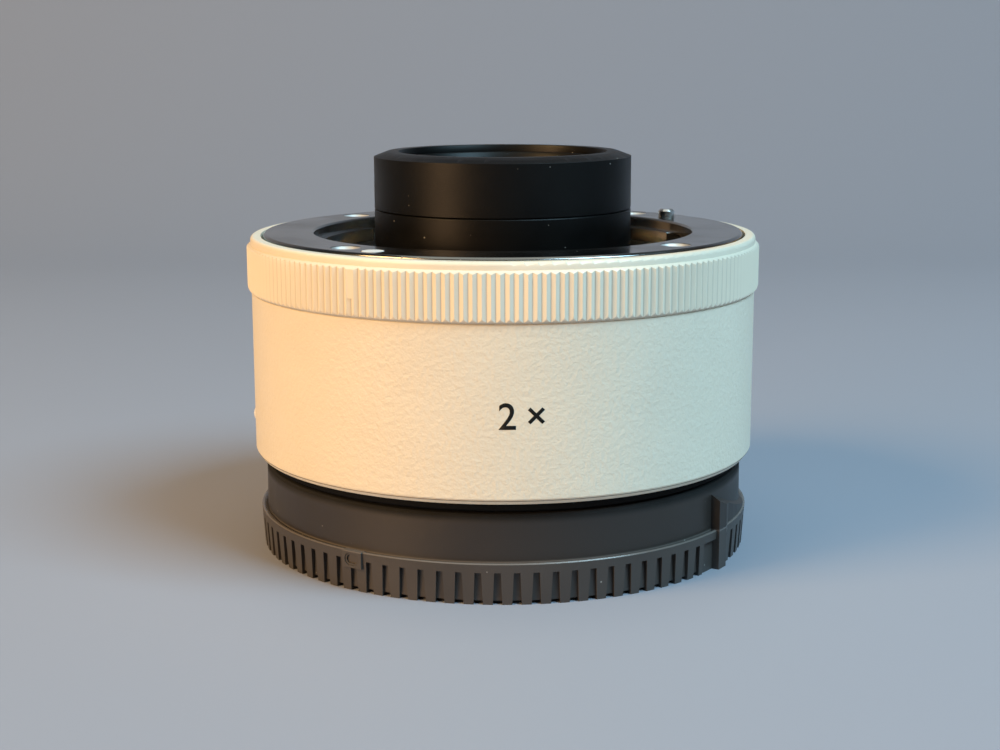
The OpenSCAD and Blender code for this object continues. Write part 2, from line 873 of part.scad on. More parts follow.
module front_liner() {
  liner_r = ledge_in_r - 0.1;
  liner_wall = 0.45;
  liner_z0 = floor_z + tube_flange_t;
  liner_floor_t = 0.6;
  color("black")
    difference() {
      union() {
        ring_band(liner_r, liner_r - liner_wall, liner_z0, spring_z - 0.1);
        ring_band(liner_r, tube_r + 0.2, liner_z0, liner_z0 + liner_floor_t);
      }
      arc_band(
        block_out_r + 0.6, block_in_r - 0.2, liner_z0 - 1, liner_z0 + 1,
        contact_angle - block_half - 1, contact_angle + block_half + 1
      );
      at_polar(pin_r, pin_angle)
        post(boss_r + 0.15, liner_z0 - 1, spring_z);
    }
}

module chassis() {
  color("darkgray")
    difference() {
      union() {
        rotate_extrude()
          polygon([
            [foot_in_r, lip_z1],
            [chassis_r, lip_z1],
            [chassis_r, lip_z1 + foot_t],
            [core_r, lip_z1 + foot_t],
            [core_r, plate_z0 - head_t],
            [chassis_r, plate_z0 - head_t],
            [chassis_r, plate_z0],
            [head_in_r, plate_z0],
            [head_in_r, spring_z],
            [ledge_in_r, spring_z],
            [ledge_in_r, spring_z - ledge_t],
            [core_in_r, spring_z - ledge_t],
            [core_in_r, floor_z],
            [floor_in_r, floor_z],
            [floor_in_r, floor_z0],
            [core_in_r, floor_z0],
            [core_in_r, lip_z1 + foot_t],
            [foot_in_r, lip_z1 + foot_t]
          ]);
        at_polar(pin_r, pin_angle)
          post(boss_r, floor_z - 0.5, collar_z1);
        for (a = board_angles)
          at_polar(board_screw_r, a)
            post(board_post_r, board_z1, floor_z0 + 0.5);
      }
      at_polar(pin_r, pin_angle) {
        post(pin_bore_r, pin_spring_z0, plate_z0 + 1);
        post(tail_r + slide_gap, floor_z0 - 1, plate_z0);
      }
      rotate([0, 0, pin_angle])
        translate([pin_r, -peg_r - 0.15, peg_z - pin_travel - peg_r - 0.3])
          cube([core_r, 2 * (peg_r + 0.15), pin_travel + 2 * peg_r + 0.6]);
      on_screws(screw_r, screw_start)
        post(screw_d / 2 + seat, plate_z0 - screw_bite - 0.3, plate_z0 + 1);
      on_screws(rear_screw_pcd / 2, rear_screw_start)
        post(screw_d / 2 + seat, lip_z1 - 1, flange_z + flange_t + rear_screw_bite + 0.3);
      for (i = [0 : 2]) {
        at_polar(tube_screw_r, 30 + 120 * i)
          post(small_screw_r + seat, floor_z0 - 1, floor_z + 1);
        at_polar(rear_screw_r, 90 + 120 * i)
          post(small_screw_r + seat, floor_z0 - 1, floor_z0 + 1.6);
      }
      for (side = [-1, 1])
        at_polar(contact_r, contact_angle + side * block_screw_a)
          post(block_screw_r + seat, floor_z0 - 1, floor_z + 1);
      for (a = board_angles)
        at_polar(board_screw_r, a)
          post(small_screw_r + seat, board_z1 - 1, board_z1 + 2.6);
      arc_band(
        block_out_r + 0.6, block_out_r - 0.1, floor_z0 - 1, floor_z + 1,
        contact_angle - flex_half - 2, contact_angle + flex_half + 2
      );
      for (a = guide_angles)
        radial_post(guide_r - 0.2 + seat, core_in_r - 1, core_r + 1, a, guide_z);
    }
}

module front_lens_tube() {
  edge = 0.15;
  color("#1c1c1c")
    difference() {
      rotate_extrude()
        polygon([
          [seat_lip_r, tube_z0],
          [tube_low_r, tube_z0],
          [tube_low_r, floor_z],
          [tube_flange_r, floor_z],
          [tube_flange_r, floor_z + tube_flange_t],
          [tube_r, floor_z + tube_flange_t],
          [tube_r, seam_z - edge],
          [tube_r - edge, seam_z],
          [spigot_r + seat, seam_z],
          [spigot_r + seat, cell_z0 - seat],
          [middle_bore_r, cell_z0 - seat],
          [middle_bore_r, seat_z],
          [seat_lip_r, seat_z]
        ]);
      for (i = [0 : 2])
        at_polar(tube_screw_r, 30 + 120 * i)
          small_screw_hole(floor_z + tube_flange_t, tube_flange_t + 1);
    }
}

module front_lens_cell() {
  lip = 0.25;
  color("#1c1c1c")
    rotate_extrude()
      polygon([
        [front_glass_r - 0.8, cell_z0],
        [spigot_r, cell_z0],
        [spigot_r, seam_z + seam_gap],
        [tube_r, seam_z + seam_gap],
        [tube_r, tip_z - cell_chamfer_h],
        [cell_mouth_r, tip_z],
        [cell_bore_r + lip, tip_z],
        [cell_bore_r, ring_z1],
        [cell_bore_r, front_seat_z],
        [front_glass_r - 0.8, front_seat_z]
      ]);
}

module front_retaining_ring() {
  color("#262626")
    rotate_extrude()
      polygon([
        [ring_in_r, ring_glass_z],
        [front_glass_r, ring_glass_z],
        [front_glass_r, ring_z1],
        [ring_in_r + 0.6, ring_z1]
      ]);
}

module tube_retaining_ring() {
  color("#262626")
    ring_band(middle_r, tube_ring_in_r, tube_ring_z0, tube_ring_z1);
}

module lens_spacer() {
  color("#262626")
    ring_band(middle_r, spacer_in_r, spacer_z0, spacer_z1);
}

module rear_lens_cell() {
  color("#262626")
    difference() {
      rotate_extrude()
        polygon([
          [last_r + seat, rear_cell_z0],
          [rear_cell_r, rear_cell_z0],
          [rear_cell_r, floor_z0 - rear_flange_t],
          [rear_flange_r, floor_z0 - rear_flange_t],
          [rear_flange_r, floor_z0],
          [floor_in_r, floor_z0],
          [floor_in_r, rear_ledge_z1],
          [rear_r - 0.9, rear_ledge_z1],
          [rear_r - 0.9, rear_ledge_z0],
          [rear_r + seat, rear_ledge_z0],
          [rear_r + seat, rear_step_z],
          [last_r + seat, rear_step_z]
        ]);
      for (i = [0 : 2])
        at_polar(rear_screw_r, 90 + 120 * i)
          mirror([0, 0, 1])
            small_screw_hole(rear_flange_t - floor_z0, rear_flange_t + 1);
    }
}

module rear_lens_spacer() {
  color("#262626")
    ring_band(last_r, rear_spacer_in_r, rear_step_z - rear_spacer_t, rear_step_z - seat / 2);
}

module rear_retaining_ring() {
  color("#262626")
    ring_band(last_r, rear_ring_in_r, rear_ring_z1 - rear_ring_t, rear_ring_z1);
}

module lens_1() {
  color("lightsteelblue", 0.5)
    biconvex_lens(glass_1_z1, glass_1_z0, front_glass_d, front_r1, front_r2);
}

module lens_2() {
  color("lightsteelblue", 0.5)
    biconcave_lens(glass_2_z1, glass_2_z0, front_glass_d, front_r2, front_r3);
}

module lens_3() {
  color("lightsteelblue", 0.5)
    biconvex_lens(glass_3_z1, glass_3_z0, middle_glass_d, glass_3_r1, glass_3_r2);
}

module lens_4() {
  color("lightsteelblue", 0.5)
    biconcave_lens(glass_4_z1, glass_4_z0, middle_glass_d, glass_3_r2, glass_4_r2);
}

module lens_5() {
  color("lightsteelblue", 0.5)
    biconcave_lens(glass_5_z1, glass_5_z0, middle_glass_d, glass_5_r1, glass_6_r1);
}

module lens_6() {
  color("lightsteelblue", 0.5)
    biconvex_lens(glass_6_z1, glass_6_z0, middle_glass_d, glass_6_r1, glass_6_r2);
}

module lens_7() {
  color("lightsteelblue", 0.5)
    biconcave_lens(glass_7_z1, glass_7_z0, rear_glass_d, glass_7_r1, glass_7_r2);
}

module lens_8() {
  color("lightsteelblue", 0.5)
    biconvex_lens(glass_8_z1, glass_8_z0, last_glass_d, glass_8_r1, glass_8_r2);
}

module tube_screws() {
  color("silver")
    for (i = [0 : 2])
      at_polar(tube_screw_r, 30 + 120 * i)
        small_screw(floor_z + tube_flange_t, tube_flange_t + 1);
}

module rear_cell_screws() {
  color("silver")
    for (i = [0 : 2])
      at_polar(rear_screw_r, 90 + 120 * i)
        mirror([0, 0, 1])
          small_screw(rear_flange_t - floor_z0, rear_flange_t + 1);
}

module circuit_board() {
  color("darkgreen")
    difference() {
      ring_band(board_out_r, board_in_r, board_z1 - board_t, board_z1);
      for (a = board_angles)
        at_polar(board_screw_r, a)
          post(small_screw_r + seat, board_z1 - 2, board_z1 + 1);
      arc_band(board_out_r + 1, board_in_r - 1, board_z1 - 2, board_z1 + 1, board_gap_a0, board_gap_a1);
    }
}

module board_chips() {
  color("#222222")
    for (a = chip_angles)
      at_polar((board_in_r + board_out_r) / 2, a)
        translate([-1.8, -1.4, board_z1])
          cube([3.6, 2.8, chip_t]);
}

module board_screws() {
  color("silver")
    for (a = board_angles)
      at_polar(board_screw_r, a)
        mirror([0, 0, 1])
          small_screw(small_head_t + board_t - board_z1, small_head_t + board_t + board_screw_bite);
}

module front_flex() {
  color("peru")
    arc_band(
      block_out_r + seat + flex_t, block_out_r + seat, board_z1, block_z - flex_drop,
      contact_angle - flex_half, contact_angle + flex_half
    );
}

module rear_flex() {
  color("peru")
    arc_band(
      pad_r + flex_t, pad_r, rear_block_z1, board_z1 - board_t,
      contact_angle - flex_half, contact_angle + flex_half
    );
}

module rear_mount() {
  edge = 0.3;
  color("silver")
    difference() {
      union() {
        rotate_extrude()
          polygon([
            [bayonet_in_r, bayonet_z0],
            [bayonet_r - edge, bayonet_z0],
            [bayonet_r, bayonet_z0 + edge],
            [bayonet_r, flange_z],
            [flange_r, flange_z],
            [flange_r, lip_z0],
            [mount_boss_r, lip_z0],
            [mount_boss_r, mount_top_z],
            [bayonet_in_r, mount_top_z]
          ]);
        for (i = [0 : 2])
          arc_band(
            rear_lug_d / 2, bayonet_r - 0.2, rear_lug_z0, rear_lug_z1,
            rear_lug_start + 120 * i, rear_lug_start + 120 * i + lug_angle
          );
      }
      on_screws(rear_screw_pcd / 2, rear_screw_start)
        mirror([0, 0, 1])
          countersunk_hole(-flange_z, flange_t + rear_screw_bite);
      at_polar(pin_r, pin_angle)
        post(lock_notch_r, flange_z - 1, flange_z + lock_notch_depth);
      for (side = [-1, 1])
        radial_post(
          block_screw_r + seat, bayonet_in_r - 1, bayonet_r + 1,
          contact_angle + side * block_screw_a, block_bolt_z
        );
    }
}

module mount_shim() {
  color("gainsboro")
    difference() {
      ring_band(mount_boss_r - 0.1, foot_in_r + 0.1, mount_top_z, lip_z1);
      on_screws(rear_screw_pcd / 2, rear_screw_start)
        post(screw_d / 2 + seat, mount_top_z - 1, lip_z1 + 1);
    }
}

module rear_mount_screws() {
  color("gainsboro")
    on_screws(rear_screw_pcd / 2, rear_screw_start)
      mirror([0, 0, 1])
        countersunk_screw(-flange_z, flange_t + rear_screw_bite);
}

module seal_ring() {
  lip = 0.2;
  color("#151515")
    rotate_extrude()
      polygon([
        [flange_r + seat, flange_z],
        [seal_r - lip, flange_z],
        [seal_r, flange_z + lip],
        [seal_r, barrel_z0],
        [flange_r + seat, barrel_z0]
      ]);
}

module rear_baffle() {
  skirt_wall = 1;
  baffle_r = bayonet_in_r - seat;
  color("#1a1a1a")
    difference() {
      union() {
        ring_band(baffle_r, baffle_r - skirt_wall, baffle_z1 - baffle_t, flange_z);
        post(baffle_r, baffle_z1 - baffle_t, baffle_z1);
      }
      for (side = [-1, 1]) {
        translate([-baffle_w / 2, side * (baffle_l / 2 - baffle_corner) - baffle_l, baffle_z1 - 2 * baffle_t])
          translate([0, baffle_l * (1 - side) / 2, 0])
            cube([baffle_w, baffle_l - baffle_corner, 4 * baffle_t]);
        for (end = [-1, 1])
          translate([side * (baffle_w / 2 - baffle_corner), end * (baffle_l / 2 - baffle_corner), 0])
            post(baffle_corner, baffle_z1 - 2 * baffle_t, baffle_z1 + 2 * baffle_t);
      }
      arc_band(
        baffle_r + skirt_wall, rear_block_in_r - 0.2, baffle_z1 - 2 * baffle_t, flange_z + skirt_wall,
        contact_angle - block_half - 1.5, contact_angle + block_half + 1.5
      );
    }
}

module rear_contact_block() {
  color("dimgray")
    difference() {
      arc_band(
        rear_block_r, rear_block_in_r, rear_block_z0, rear_block_z1,
        contact_angle - block_half, contact_angle + block_half
      );
      for (i = [1 : contact_count])
        at_polar(pad_r, pin_place(i))
          translate([-pad_l / 2 - seat, -pad_w / 2 - seat, rear_block_z0 - 1])
            cube([pad_l + 2 * seat, pad_w + 2 * seat, 1 + pad_t]);
      for (side = [-1, 1])
        radial_post(
          block_screw_r + seat, rear_block_in_r + 0.6, rear_block_r + 1,
          contact_angle + side * block_screw_a, block_bolt_z
        );
    }
}

module rear_contact_pads() {
  color("gold")
    for (i = [1 : contact_count])
      at_polar(pad_r, pin_place(i))
        translate([-pad_l / 2, -pad_w / 2, rear_block_z0 - pad_t / 2])
          cube([pad_l, pad_w, pad_t * 1.5 - seat / 2]);
}

module rear_block_screws() {
  color("silver")
    for (side = [-1, 1])
      radial_post(
        block_screw_r, rear_block_in_r + 0.8, bayonet_r - 0.1,
        contact_angle + side * block_screw_a, block_bolt_z
      );
}

module lock_pin() {
  edge = 0.25;
  color("silver") {
    at_polar(pin_r, pin_angle) {
      post(pin_d / 2, collar_z0, plate_z + pin_proud - edge);
      translate([0, 0, plate_z + pin_proud - edge])
        cylinder(r1 = pin_d / 2, r2 = pin_d / 2 - edge, h = edge);
      post(collar_r, collar_z0, collar_z1);
      post(tail_r, pin_tail_z, collar_z0 + 0.1);
    }
    radial_post(peg_r, pin_r, lever_out_r + 0.2, pin_angle, peg_z);
  }
}

module lock_pin_spring() {
  wire_r = 0.16;
  color("gainsboro")
    at_polar(pin_r, pin_angle)
      coil((pin_bore_r + tail_r) / 2, wire_r, pin_spring_z0 + 0.04, collar_z0 - 0.04, 4);
}

module release_lever() {
  color("#2b2b2d")
    difference() {
      union() {
        arc_band(lever_out_r, lever_in_r, lever_z0, lever_z1, lever_a0, lever_a1);
        arc_band(barrel_r + thumb_proud / 2, lever_in_r, stem_z0, stem_z1, stem_a0, stem_a1);
        arc_band(
          barrel_r + thumb_proud, barrel_r + pass_gap, thumb_z0, thumb_z1,
          thumb_a0, thumb_a0 + thumb_angle
        );
        for (i = [0 : ridge_count - 1]) {
          a = thumb_a0 + thumb_angle * (i + 0.5) / ridge_count;
          arc_band(
            barrel_r + thumb_proud + ridge_h, barrel_r + thumb_proud - 0.1, thumb_z0 + 0.3, thumb_z1 - 0.3,
            a - 0.6, a + 0.6
          );
        }
      }
      radial_slot(
        peg_r + slide_gap, lever_in_r - 1, lever_out_r + 1,
        pin_angle - lever_swing, peg_z - pin_travel, pin_angle, peg_z
      );
      for (a = guide_angles)
        radial_slot(
          guide_r + slide_gap, lever_in_r - 1, lever_out_r + 1,
          a - lever_swing - 0.3, guide_z, a + 0.3, guide_z
        );
    }
}

module lever_screws() {
  color("silver")
    for (a = guide_angles) {
      radial_post(guide_r - 0.2, core_in_r, core_r + 0.2, a, guide_z);
      radial_post(guide_r, core_r, lever_out_r + 0.15, a, guide_z);
      radial_post(guide_r + 0.5, lever_out_r + 0.1, lever_out_r + 0.42, a, guide_z);
    }
}

// One slot of the cap's skirt, wider at its foot
module skirt_slot() {
  translate([skirt_r - slot_depth, 0, 0])
    rotate([90, 0, 90])
      linear_extrude(slot_depth + 2)
        polygon([
          [-slot_foot_w / 2, -1],
          [slot_foot_w / 2, -1],
          [slot_foot_w / 2, 0],
          [slot_top_w / 2, slot_h],
          [-slot_top_w / 2, slot_h],
          [-slot_foot_w / 2, 0]
        ]);
  translate([skirt_r - slot_depth - foot_groove_w, -slot_foot_w / 2, -1])
    cube([slot_depth + foot_groove_w + 2, slot_foot_w, 1 + foot_groove_h]);
}

// True for a slot that stands clear of the thumb ramp's wall and of the window beside it
function slot_shows(a) =
  let (d = (a - ramp_angle + 540) % 360 - 180)
    d < -window_angle - 1.5 || d > ramp_body + 1;

// Radius of the thumb ramp at the angle a past its wall
function ramp_r(a) = lookup(a, [
  [0, collar_r_cap + ramp_proud],
  [ramp_step, collar_r_cap + ramp_proud],
  [2 * ramp_step, skirt_r - ramp_inset],
  [7 * ramp_step, skirt_r - ramp_inset],
  [ramp_run, collar_r_cap - 0.1]
]);

// Plan of the thumb ramp over an angle: a steep wall, then just inside the skirt, running out into the collar
module ramp_plan(run) {
  polygon(concat(
    [for (a = [0 : ramp_step : run]) polar(ramp_r(a), ramp_angle + a)],
    [for (a = [run : -ramp_step : 0]) polar(cap_in_r + 0.3, ramp_angle + a)]
  ));
}

// Thumb ramp: its foot fills the skirt, and its top falls away from the wall
module thumb_ramp() {
  linear_extrude(ramp_z0 + 0.2)
    ramp_plan(ramp_body);
  difference() {
    translate([0, 0, ramp_z0])
      linear_extrude(ramp_h + 2 - ramp_z0)
        ramp_plan(ramp_run);
    rotate([0, 0, ramp_angle])
      translate([collar_r_cap, 0, ramp_h])
        rotate([-ramp_fall, ramp_lean, 0])
          translate([-collar_r_cap, -10, 0])
            cube([2 * collar_r_cap, 2 * collar_r_cap, cap_h]);
  }
}

// Outline of the recess in the cap's pad, with round ends of radius r
module pad_oval(r) {
  for (side = [-1, 1])
    translate([side * oval_half, 0])
      circle(r, $fn = 32);
  square([2 * oval_half, 2 * r], center = true);
}

module rear_cap() {
  foot_r = skirt_r - skirt_draft;
  color("#3a3a3c")
    difference() {
      union() {
        difference() {
          rotate_extrude()
            polygon([
              [0, cap_floor_z0],
              [cap_in_r - 0.6, cap_floor_z0],
              [cap_in_r - 0.2, 0],
              [foot_r, 0],
              [skirt_r, skirt_h - 0.12],
              [skirt_r - 0.12, skirt_h],
              [skirt_r - 0.3, skirt_h],
              [collar_r_cap, skirt_h - ledge_dip],
              [collar_r_cap - 0.05, cap_h - 0.3],
              [collar_r_cap - 0.35, cap_h],
              [cap_in_r, cap_h],
              [cap_in_r, cap_floor_z1],
              [0, cap_floor_z1]
            ]);
          for (i = [0 : slot_count - 1]) {
            a = pad_angle + 360 * i / slot_count;
            if (slot_shows(a))
              rotate([0, 0, a])
                skirt_slot();
          }
          arc_band(
            skirt_r + 1, skirt_r - window_depth, -1, slot_h,
            ramp_angle - window_angle, ramp_angle + 0.5
          );
        }
        ring_band(cap_ring_r, cap_ring_in_r, cap_floor_z1 - 0.2, cap_ring_z1);
        for (i = [0 : 2])
          arc_band(
            cap_ring_in_r + 0.2, cap_lug_in_r, cap_lug_z0, cap_lug_z1,
            rear_lug_start + 120 * i, rear_lug_start + 120 * i + lug_angle
          );
        for (i = [0 : cap_web_count - 1])
          rotate([0, 0, 360 * i / cap_web_count])
            translate([cap_ring_r - 0.3, -cap_web_t / 2, cap_floor_z1 - 0.2])
              cube([cap_in_r - cap_ring_r + 0.6, cap_web_t, cap_web_z1 - cap_floor_z1 + 0.2]);
        thumb_ramp();
        at_polar(skirt_r - slot_depth, pad_angle)
          translate([0, -cap_pad_w / 2, cap_pad_z0])
            cube([slot_depth + cap_pad_proud, cap_pad_w, cap_pad_z1 - cap_pad_z0]);
      }
      for (step = [[oval_r, oval_dish], [oval_r - oval_lip, oval_depth]])
        at_polar(skirt_r + cap_pad_proud - step[1], pad_angle)
          translate([0, 0, (cap_pad_z0 + cap_pad_z1) / 2])
            rotate([90, 0, 90])
              linear_extrude(1)
                pad_oval(step[0]);
    }
}

outer_barrel();
grip_ring();
front_mount_plate();
front_mount_spring();
front_mount_screws();
front_index_dot();
rear_index_bead();
front_contact_block();
front_block_screws();
contact_pin(1);  // contact_pin_1
contact_pin(2);  // contact_pin_2
contact_pin(3);  // contact_pin_3
contact_pin(4);  // contact_pin_4
contact_pin(5);  // contact_pin_5
contact_pin(6);  // contact_pin_6
contact_pin(7);  // contact_pin_7
contact_pin(8);  // contact_pin_8
contact_pin(9);  // contact_pin_9
contact_pin(10);  // contact_pin_10
contact_springs();
front_liner();
chassis();
front_lens_tube();
front_lens_cell();
front_retaining_ring();
tube_retaining_ring();
lens_spacer();
rear_lens_cell();
rear_lens_spacer();
rear_retaining_ring();
lens_1();
lens_2();
lens_3();
lens_4();
lens_5();
lens_6();
lens_7();
lens_8();
tube_screws();
rear_cell_screws();
circuit_board();
board_chips();
board_screws();
front_flex();
rear_flex();
rear_mount();
mount_shim();
rear_mount_screws();
seal_ring();
rear_baffle();
rear_contact_block();
rear_contact_pads();
rear_block_screws();
lock_pin();
lock_pin_spring();
release_lever();
lever_screws();
rear_cap();
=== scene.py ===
"""Looks of a camera teleconverter that stands on its rear cap.

The CAD frame gives every piece its shape and place.  This script dresses the pieces:
it rounds their edges, gives each finish a procedural material, prints the factor mark,
winds the spring coils, and sets the floor, the soft studio lights and the camera.
"""

import logging
import math
from dataclasses import dataclass
from enum import Enum
from typing import ClassVar, Dict, List, Sequence, Tuple

import bpy
from mathutils import Matrix, Vector

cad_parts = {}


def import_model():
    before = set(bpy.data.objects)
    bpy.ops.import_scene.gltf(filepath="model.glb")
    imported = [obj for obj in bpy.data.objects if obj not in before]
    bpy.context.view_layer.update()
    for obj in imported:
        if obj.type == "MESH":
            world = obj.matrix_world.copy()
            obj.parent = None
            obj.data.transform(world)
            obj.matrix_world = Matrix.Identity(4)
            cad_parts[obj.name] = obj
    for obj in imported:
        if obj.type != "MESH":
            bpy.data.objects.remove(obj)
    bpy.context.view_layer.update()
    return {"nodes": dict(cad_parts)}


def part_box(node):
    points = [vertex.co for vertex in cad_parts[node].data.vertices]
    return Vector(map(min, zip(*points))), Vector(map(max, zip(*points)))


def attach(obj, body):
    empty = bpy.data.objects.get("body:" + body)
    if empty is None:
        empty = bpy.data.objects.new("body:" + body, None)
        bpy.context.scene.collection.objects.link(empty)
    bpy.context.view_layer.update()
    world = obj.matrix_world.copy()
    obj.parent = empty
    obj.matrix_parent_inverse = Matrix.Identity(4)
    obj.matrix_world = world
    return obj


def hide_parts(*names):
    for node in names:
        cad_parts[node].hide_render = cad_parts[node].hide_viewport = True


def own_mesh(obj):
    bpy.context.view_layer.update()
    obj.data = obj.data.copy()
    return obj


LOG = logging.getLogger("teleconverter")
MM = 0.001
MM_PER_METRE = 1000.0
ANY_HEIGHT = 1.0
CARRIER = "converter"
Colour = Tuple[float, float, float]
Socket = bpy.types.NodeSocket


class Turning(Enum):
    """How deep the marks of the turning tool are, in millimetres."""

    NONE = 0.0
    FINE = 0.002
    CLEAR = 0.005


class Side(Enum):
    """The side of the object that a lamp stands on."""

    LEFT = -1
    ABOVE = 0
    RIGHT = 1


class Wiring:
    """Adds nodes to one node tree and joins their sockets."""

    MIX_FIRST = 6
    MIX_SECOND = 7
    MIX_RESULT = 2

    def __init__(self, tree: bpy.types.NodeTree) -> None:
        """Keeps the tree that the nodes go into."""
        self.tree = tree

    def add(self, kind: str, **settings: object) -> bpy.types.Node:
        """Adds one node.

        Args:
            kind: The node's type name, without the ShaderNode prefix where it has one.
            **settings: Properties of the node, set by name.

        Returns:
            The new node.
        """
        name = kind if kind.startswith("Node") else "ShaderNode" + kind
        node = self.tree.nodes.new(name)
        for key, value in settings.items():
            setattr(node, key, value)
        return node

    def feed(self, target: Socket, value: object) -> None:
        """Joins a socket to the target, or sets a plain value on it.

        Args:
            target: The input socket.
            value: A socket, a number or a colour.
        """
        if isinstance(value, bpy.types.NodeSocket):
            self.tree.links.new(value, target)
        elif isinstance(value, tuple) and target.type == "RGBA":
            target.default_value = (*value, 1.0)
        else:
            target.default_value = value

    def sum(self, operation: str, first: object, second: object) -> Socket:
        """Adds a Math node.

        Args:
            operation: The node's operation.
            first: The first socket or number.
            second: The second socket or number.

        Returns:
            The result's socket.
        """
        node = self.add("Math", operation=operation)
        self.feed(node.inputs[0], first)
        self.feed(node.inputs[1], second)
        return node.outputs[0]

    def span(
        self, value: object, low: object, high: object, start: float = 0.0, end: float = 1.0
    ) -> Socket:
        """Maps a value smoothly from one range to another, and holds it there.

        Args:
            value: The socket to map.
            low: Where the result is start.
            high: Where the result is end.
            start: The result at low.
            end: The result at high.

        Returns:
            The result's socket.
        """
        node = self.add("MapRange", interpolation_type="SMOOTHSTEP")
        for index, item in enumerate((value, low, high, start, end)):
            self.feed(node.inputs[index], item)
        return node.outputs[0]

    def tint(self, factor: object, first: object, second: object) -> Socket:
        """Mixes two colours.

        Args:
            factor: 0 gives the first colour and 1 the second.
            first: A colour or socket.
            second: A colour or socket.

        Returns:
            The mixed colour's socket.
        """
        node = self.add("Mix", data_type="RGBA")
        self.feed(node.inputs[0], factor)
        self.feed(node.inputs[self.MIX_FIRST], first)
        self.feed(node.inputs[self.MIX_SECOND], second)
        return node.outputs[self.MIX_RESULT]

    def radius(self, vector: Socket) -> Socket:
        """Measures how far a point is from the optical axis.

        Args:
            vector: The Object coordinates.

        Returns:
            The distance's socket, in metres.
        """
        flat = self.add("VectorMath", operation="MULTIPLY")
        self.feed(flat.inputs[0], vector)
        flat.inputs[1].default_value = (1.0, 1.0, 0.0)
        length = self.add("VectorMath", operation="LENGTH")
        self.feed(length.inputs[0], flat.outputs[0])
        return length.outputs["Value"]

    def height(self, vector: Socket) -> Socket:
        """Reads how high a point is.

        Args:
            vector: The Object coordinates.

        Returns:
            The height's socket, in metres.
        """
        parts = self.add("SeparateXYZ")
        self.feed(parts.inputs[0], vector)
        return parts.outputs["Z"]

    def fineness(self, size_mm: Socket) -> Socket:
        """Turns a size in millimetres into the scale of a texture."""
        return self.sum("DIVIDE", MM_PER_METRE, size_mm)

    def noise(self, vector: Socket, scale: object, detail: float = 2.0) -> Socket:
        """Adds a noise texture.

        Args:
            vector: Where the noise is read.
            scale: The noise's scale.
            detail: How many finer layers it has.

        Returns:
            The noise, from 0 to 1.
        """
        node = self.add("TexNoise")
        self.feed(node.inputs["Vector"], vector)
        self.feed(node.inputs["Scale"], scale)
        node.inputs["Detail"].default_value = detail
        return node.outputs[0]


class Effect:
    """A shader node group that several materials share, built once."""

    NUMBER = "NodeSocketFloat"
    name: str = "effect"
    takes: Sequence[Tuple[str, float]] = ()
    gives: Sequence[str] = ()

    def tree(self) -> bpy.types.NodeTree:
        """Builds the group on the first call.

        Returns:
            The group's node tree.
        """
        found = bpy.data.node_groups.get(self.name)
        if found:
            return found
        tree = bpy.data.node_groups.new(self.name, "ShaderNodeTree")
        tree.interface.new_socket("Vector", in_out="INPUT", socket_type="NodeSocketVector")
        for label, start in self.takes:
            socket = tree.interface.new_socket(label, in_out="INPUT", socket_type=self.NUMBER)
            socket.default_value = start
        for label in self.gives:
            tree.interface.new_socket(label, in_out="OUTPUT", socket_type=self.NUMBER)
        wiring = Wiring(tree)
        self.wire(wiring, wiring.add("NodeGroupInput"), wiring.add("NodeGroupOutput"))
        return tree

    def wire(self, wiring: Wiring, inside: bpy.types.Node, out: bpy.types.Node) -> None:
        """Fills the group with its nodes; each effect has its own."""
        raise NotImplementedError

    def place(self, wiring: Wiring, vector: Socket, **values: float) -> bpy.types.Node:
        """Places the group in a material.

        Args:
            wiring: The material's nodes.
            vector: The Object coordinates.
            **values: The group's inputs, by name.

        Returns:
            The group's node.
        """
        node = wiring.add("Group", node_tree=self.tree())
        wiring.feed(node.inputs["Vector"], vector)
        for label, value in values.items():
            wiring.feed(node.inputs[label], value)
        return node


class Pebble(Effect):
    """The pebbled skin of sprayed paint or of a moulded surface."""

    name = "pebbled_skin"
    takes = (("Size", 0.4),)
    gives = ("Height", "Tone")
    finer = 2.7
    coarse_share = 0.68
    fine_share = 0.32
    tone_range = (0.38, 0.62)

    def wire(self, wiring: Wiring, inside: bpy.types.Node, out: bpy.types.Node) -> None:
        """Lays two sizes of noise over each other; the size is in millimetres.

        Args:
            wiring: The group's nodes.
            inside: The group's input node.
            out: The group's output node.
        """
        vector = inside.outputs["Vector"]
        scale = wiring.fineness(inside.outputs["Size"])
        coarse = wiring.noise(vector, scale, detail=1.0)
        fine = wiring.noise(vector, wiring.sum("MULTIPLY", scale, self.finer))
        blend = wiring.sum(
            "ADD",
            wiring.sum("MULTIPLY", coarse, self.coarse_share),
            wiring.sum("MULTIPLY", fine, self.fine_share),
        )
        wiring.feed(out.inputs["Height"], blend)
        wiring.feed(out.inputs["Tone"], wiring.span(blend, *self.tone_range))


class Mottle(Effect):
    """Broad uneven tone, as handling and light wear leave it."""

    name = "uneven_tone"
    takes = (("Size", 9.0),)
    gives = ("Tone",)
    tone_range = (0.3, 0.7)

    def wire(self, wiring: Wiring, inside: bpy.types.Node, out: bpy.types.Node) -> None:
        """Reads one broad noise; the size is in millimetres.

        Args:
            wiring: The group's nodes.
            inside: The group's input node.
            out: The group's output node.
        """
        scale = wiring.fineness(inside.outputs["Size"])
        broad = wiring.noise(inside.outputs["Vector"], scale, detail=4.0)
        wiring.feed(out.inputs["Tone"], wiring.span(broad, *self.tone_range))


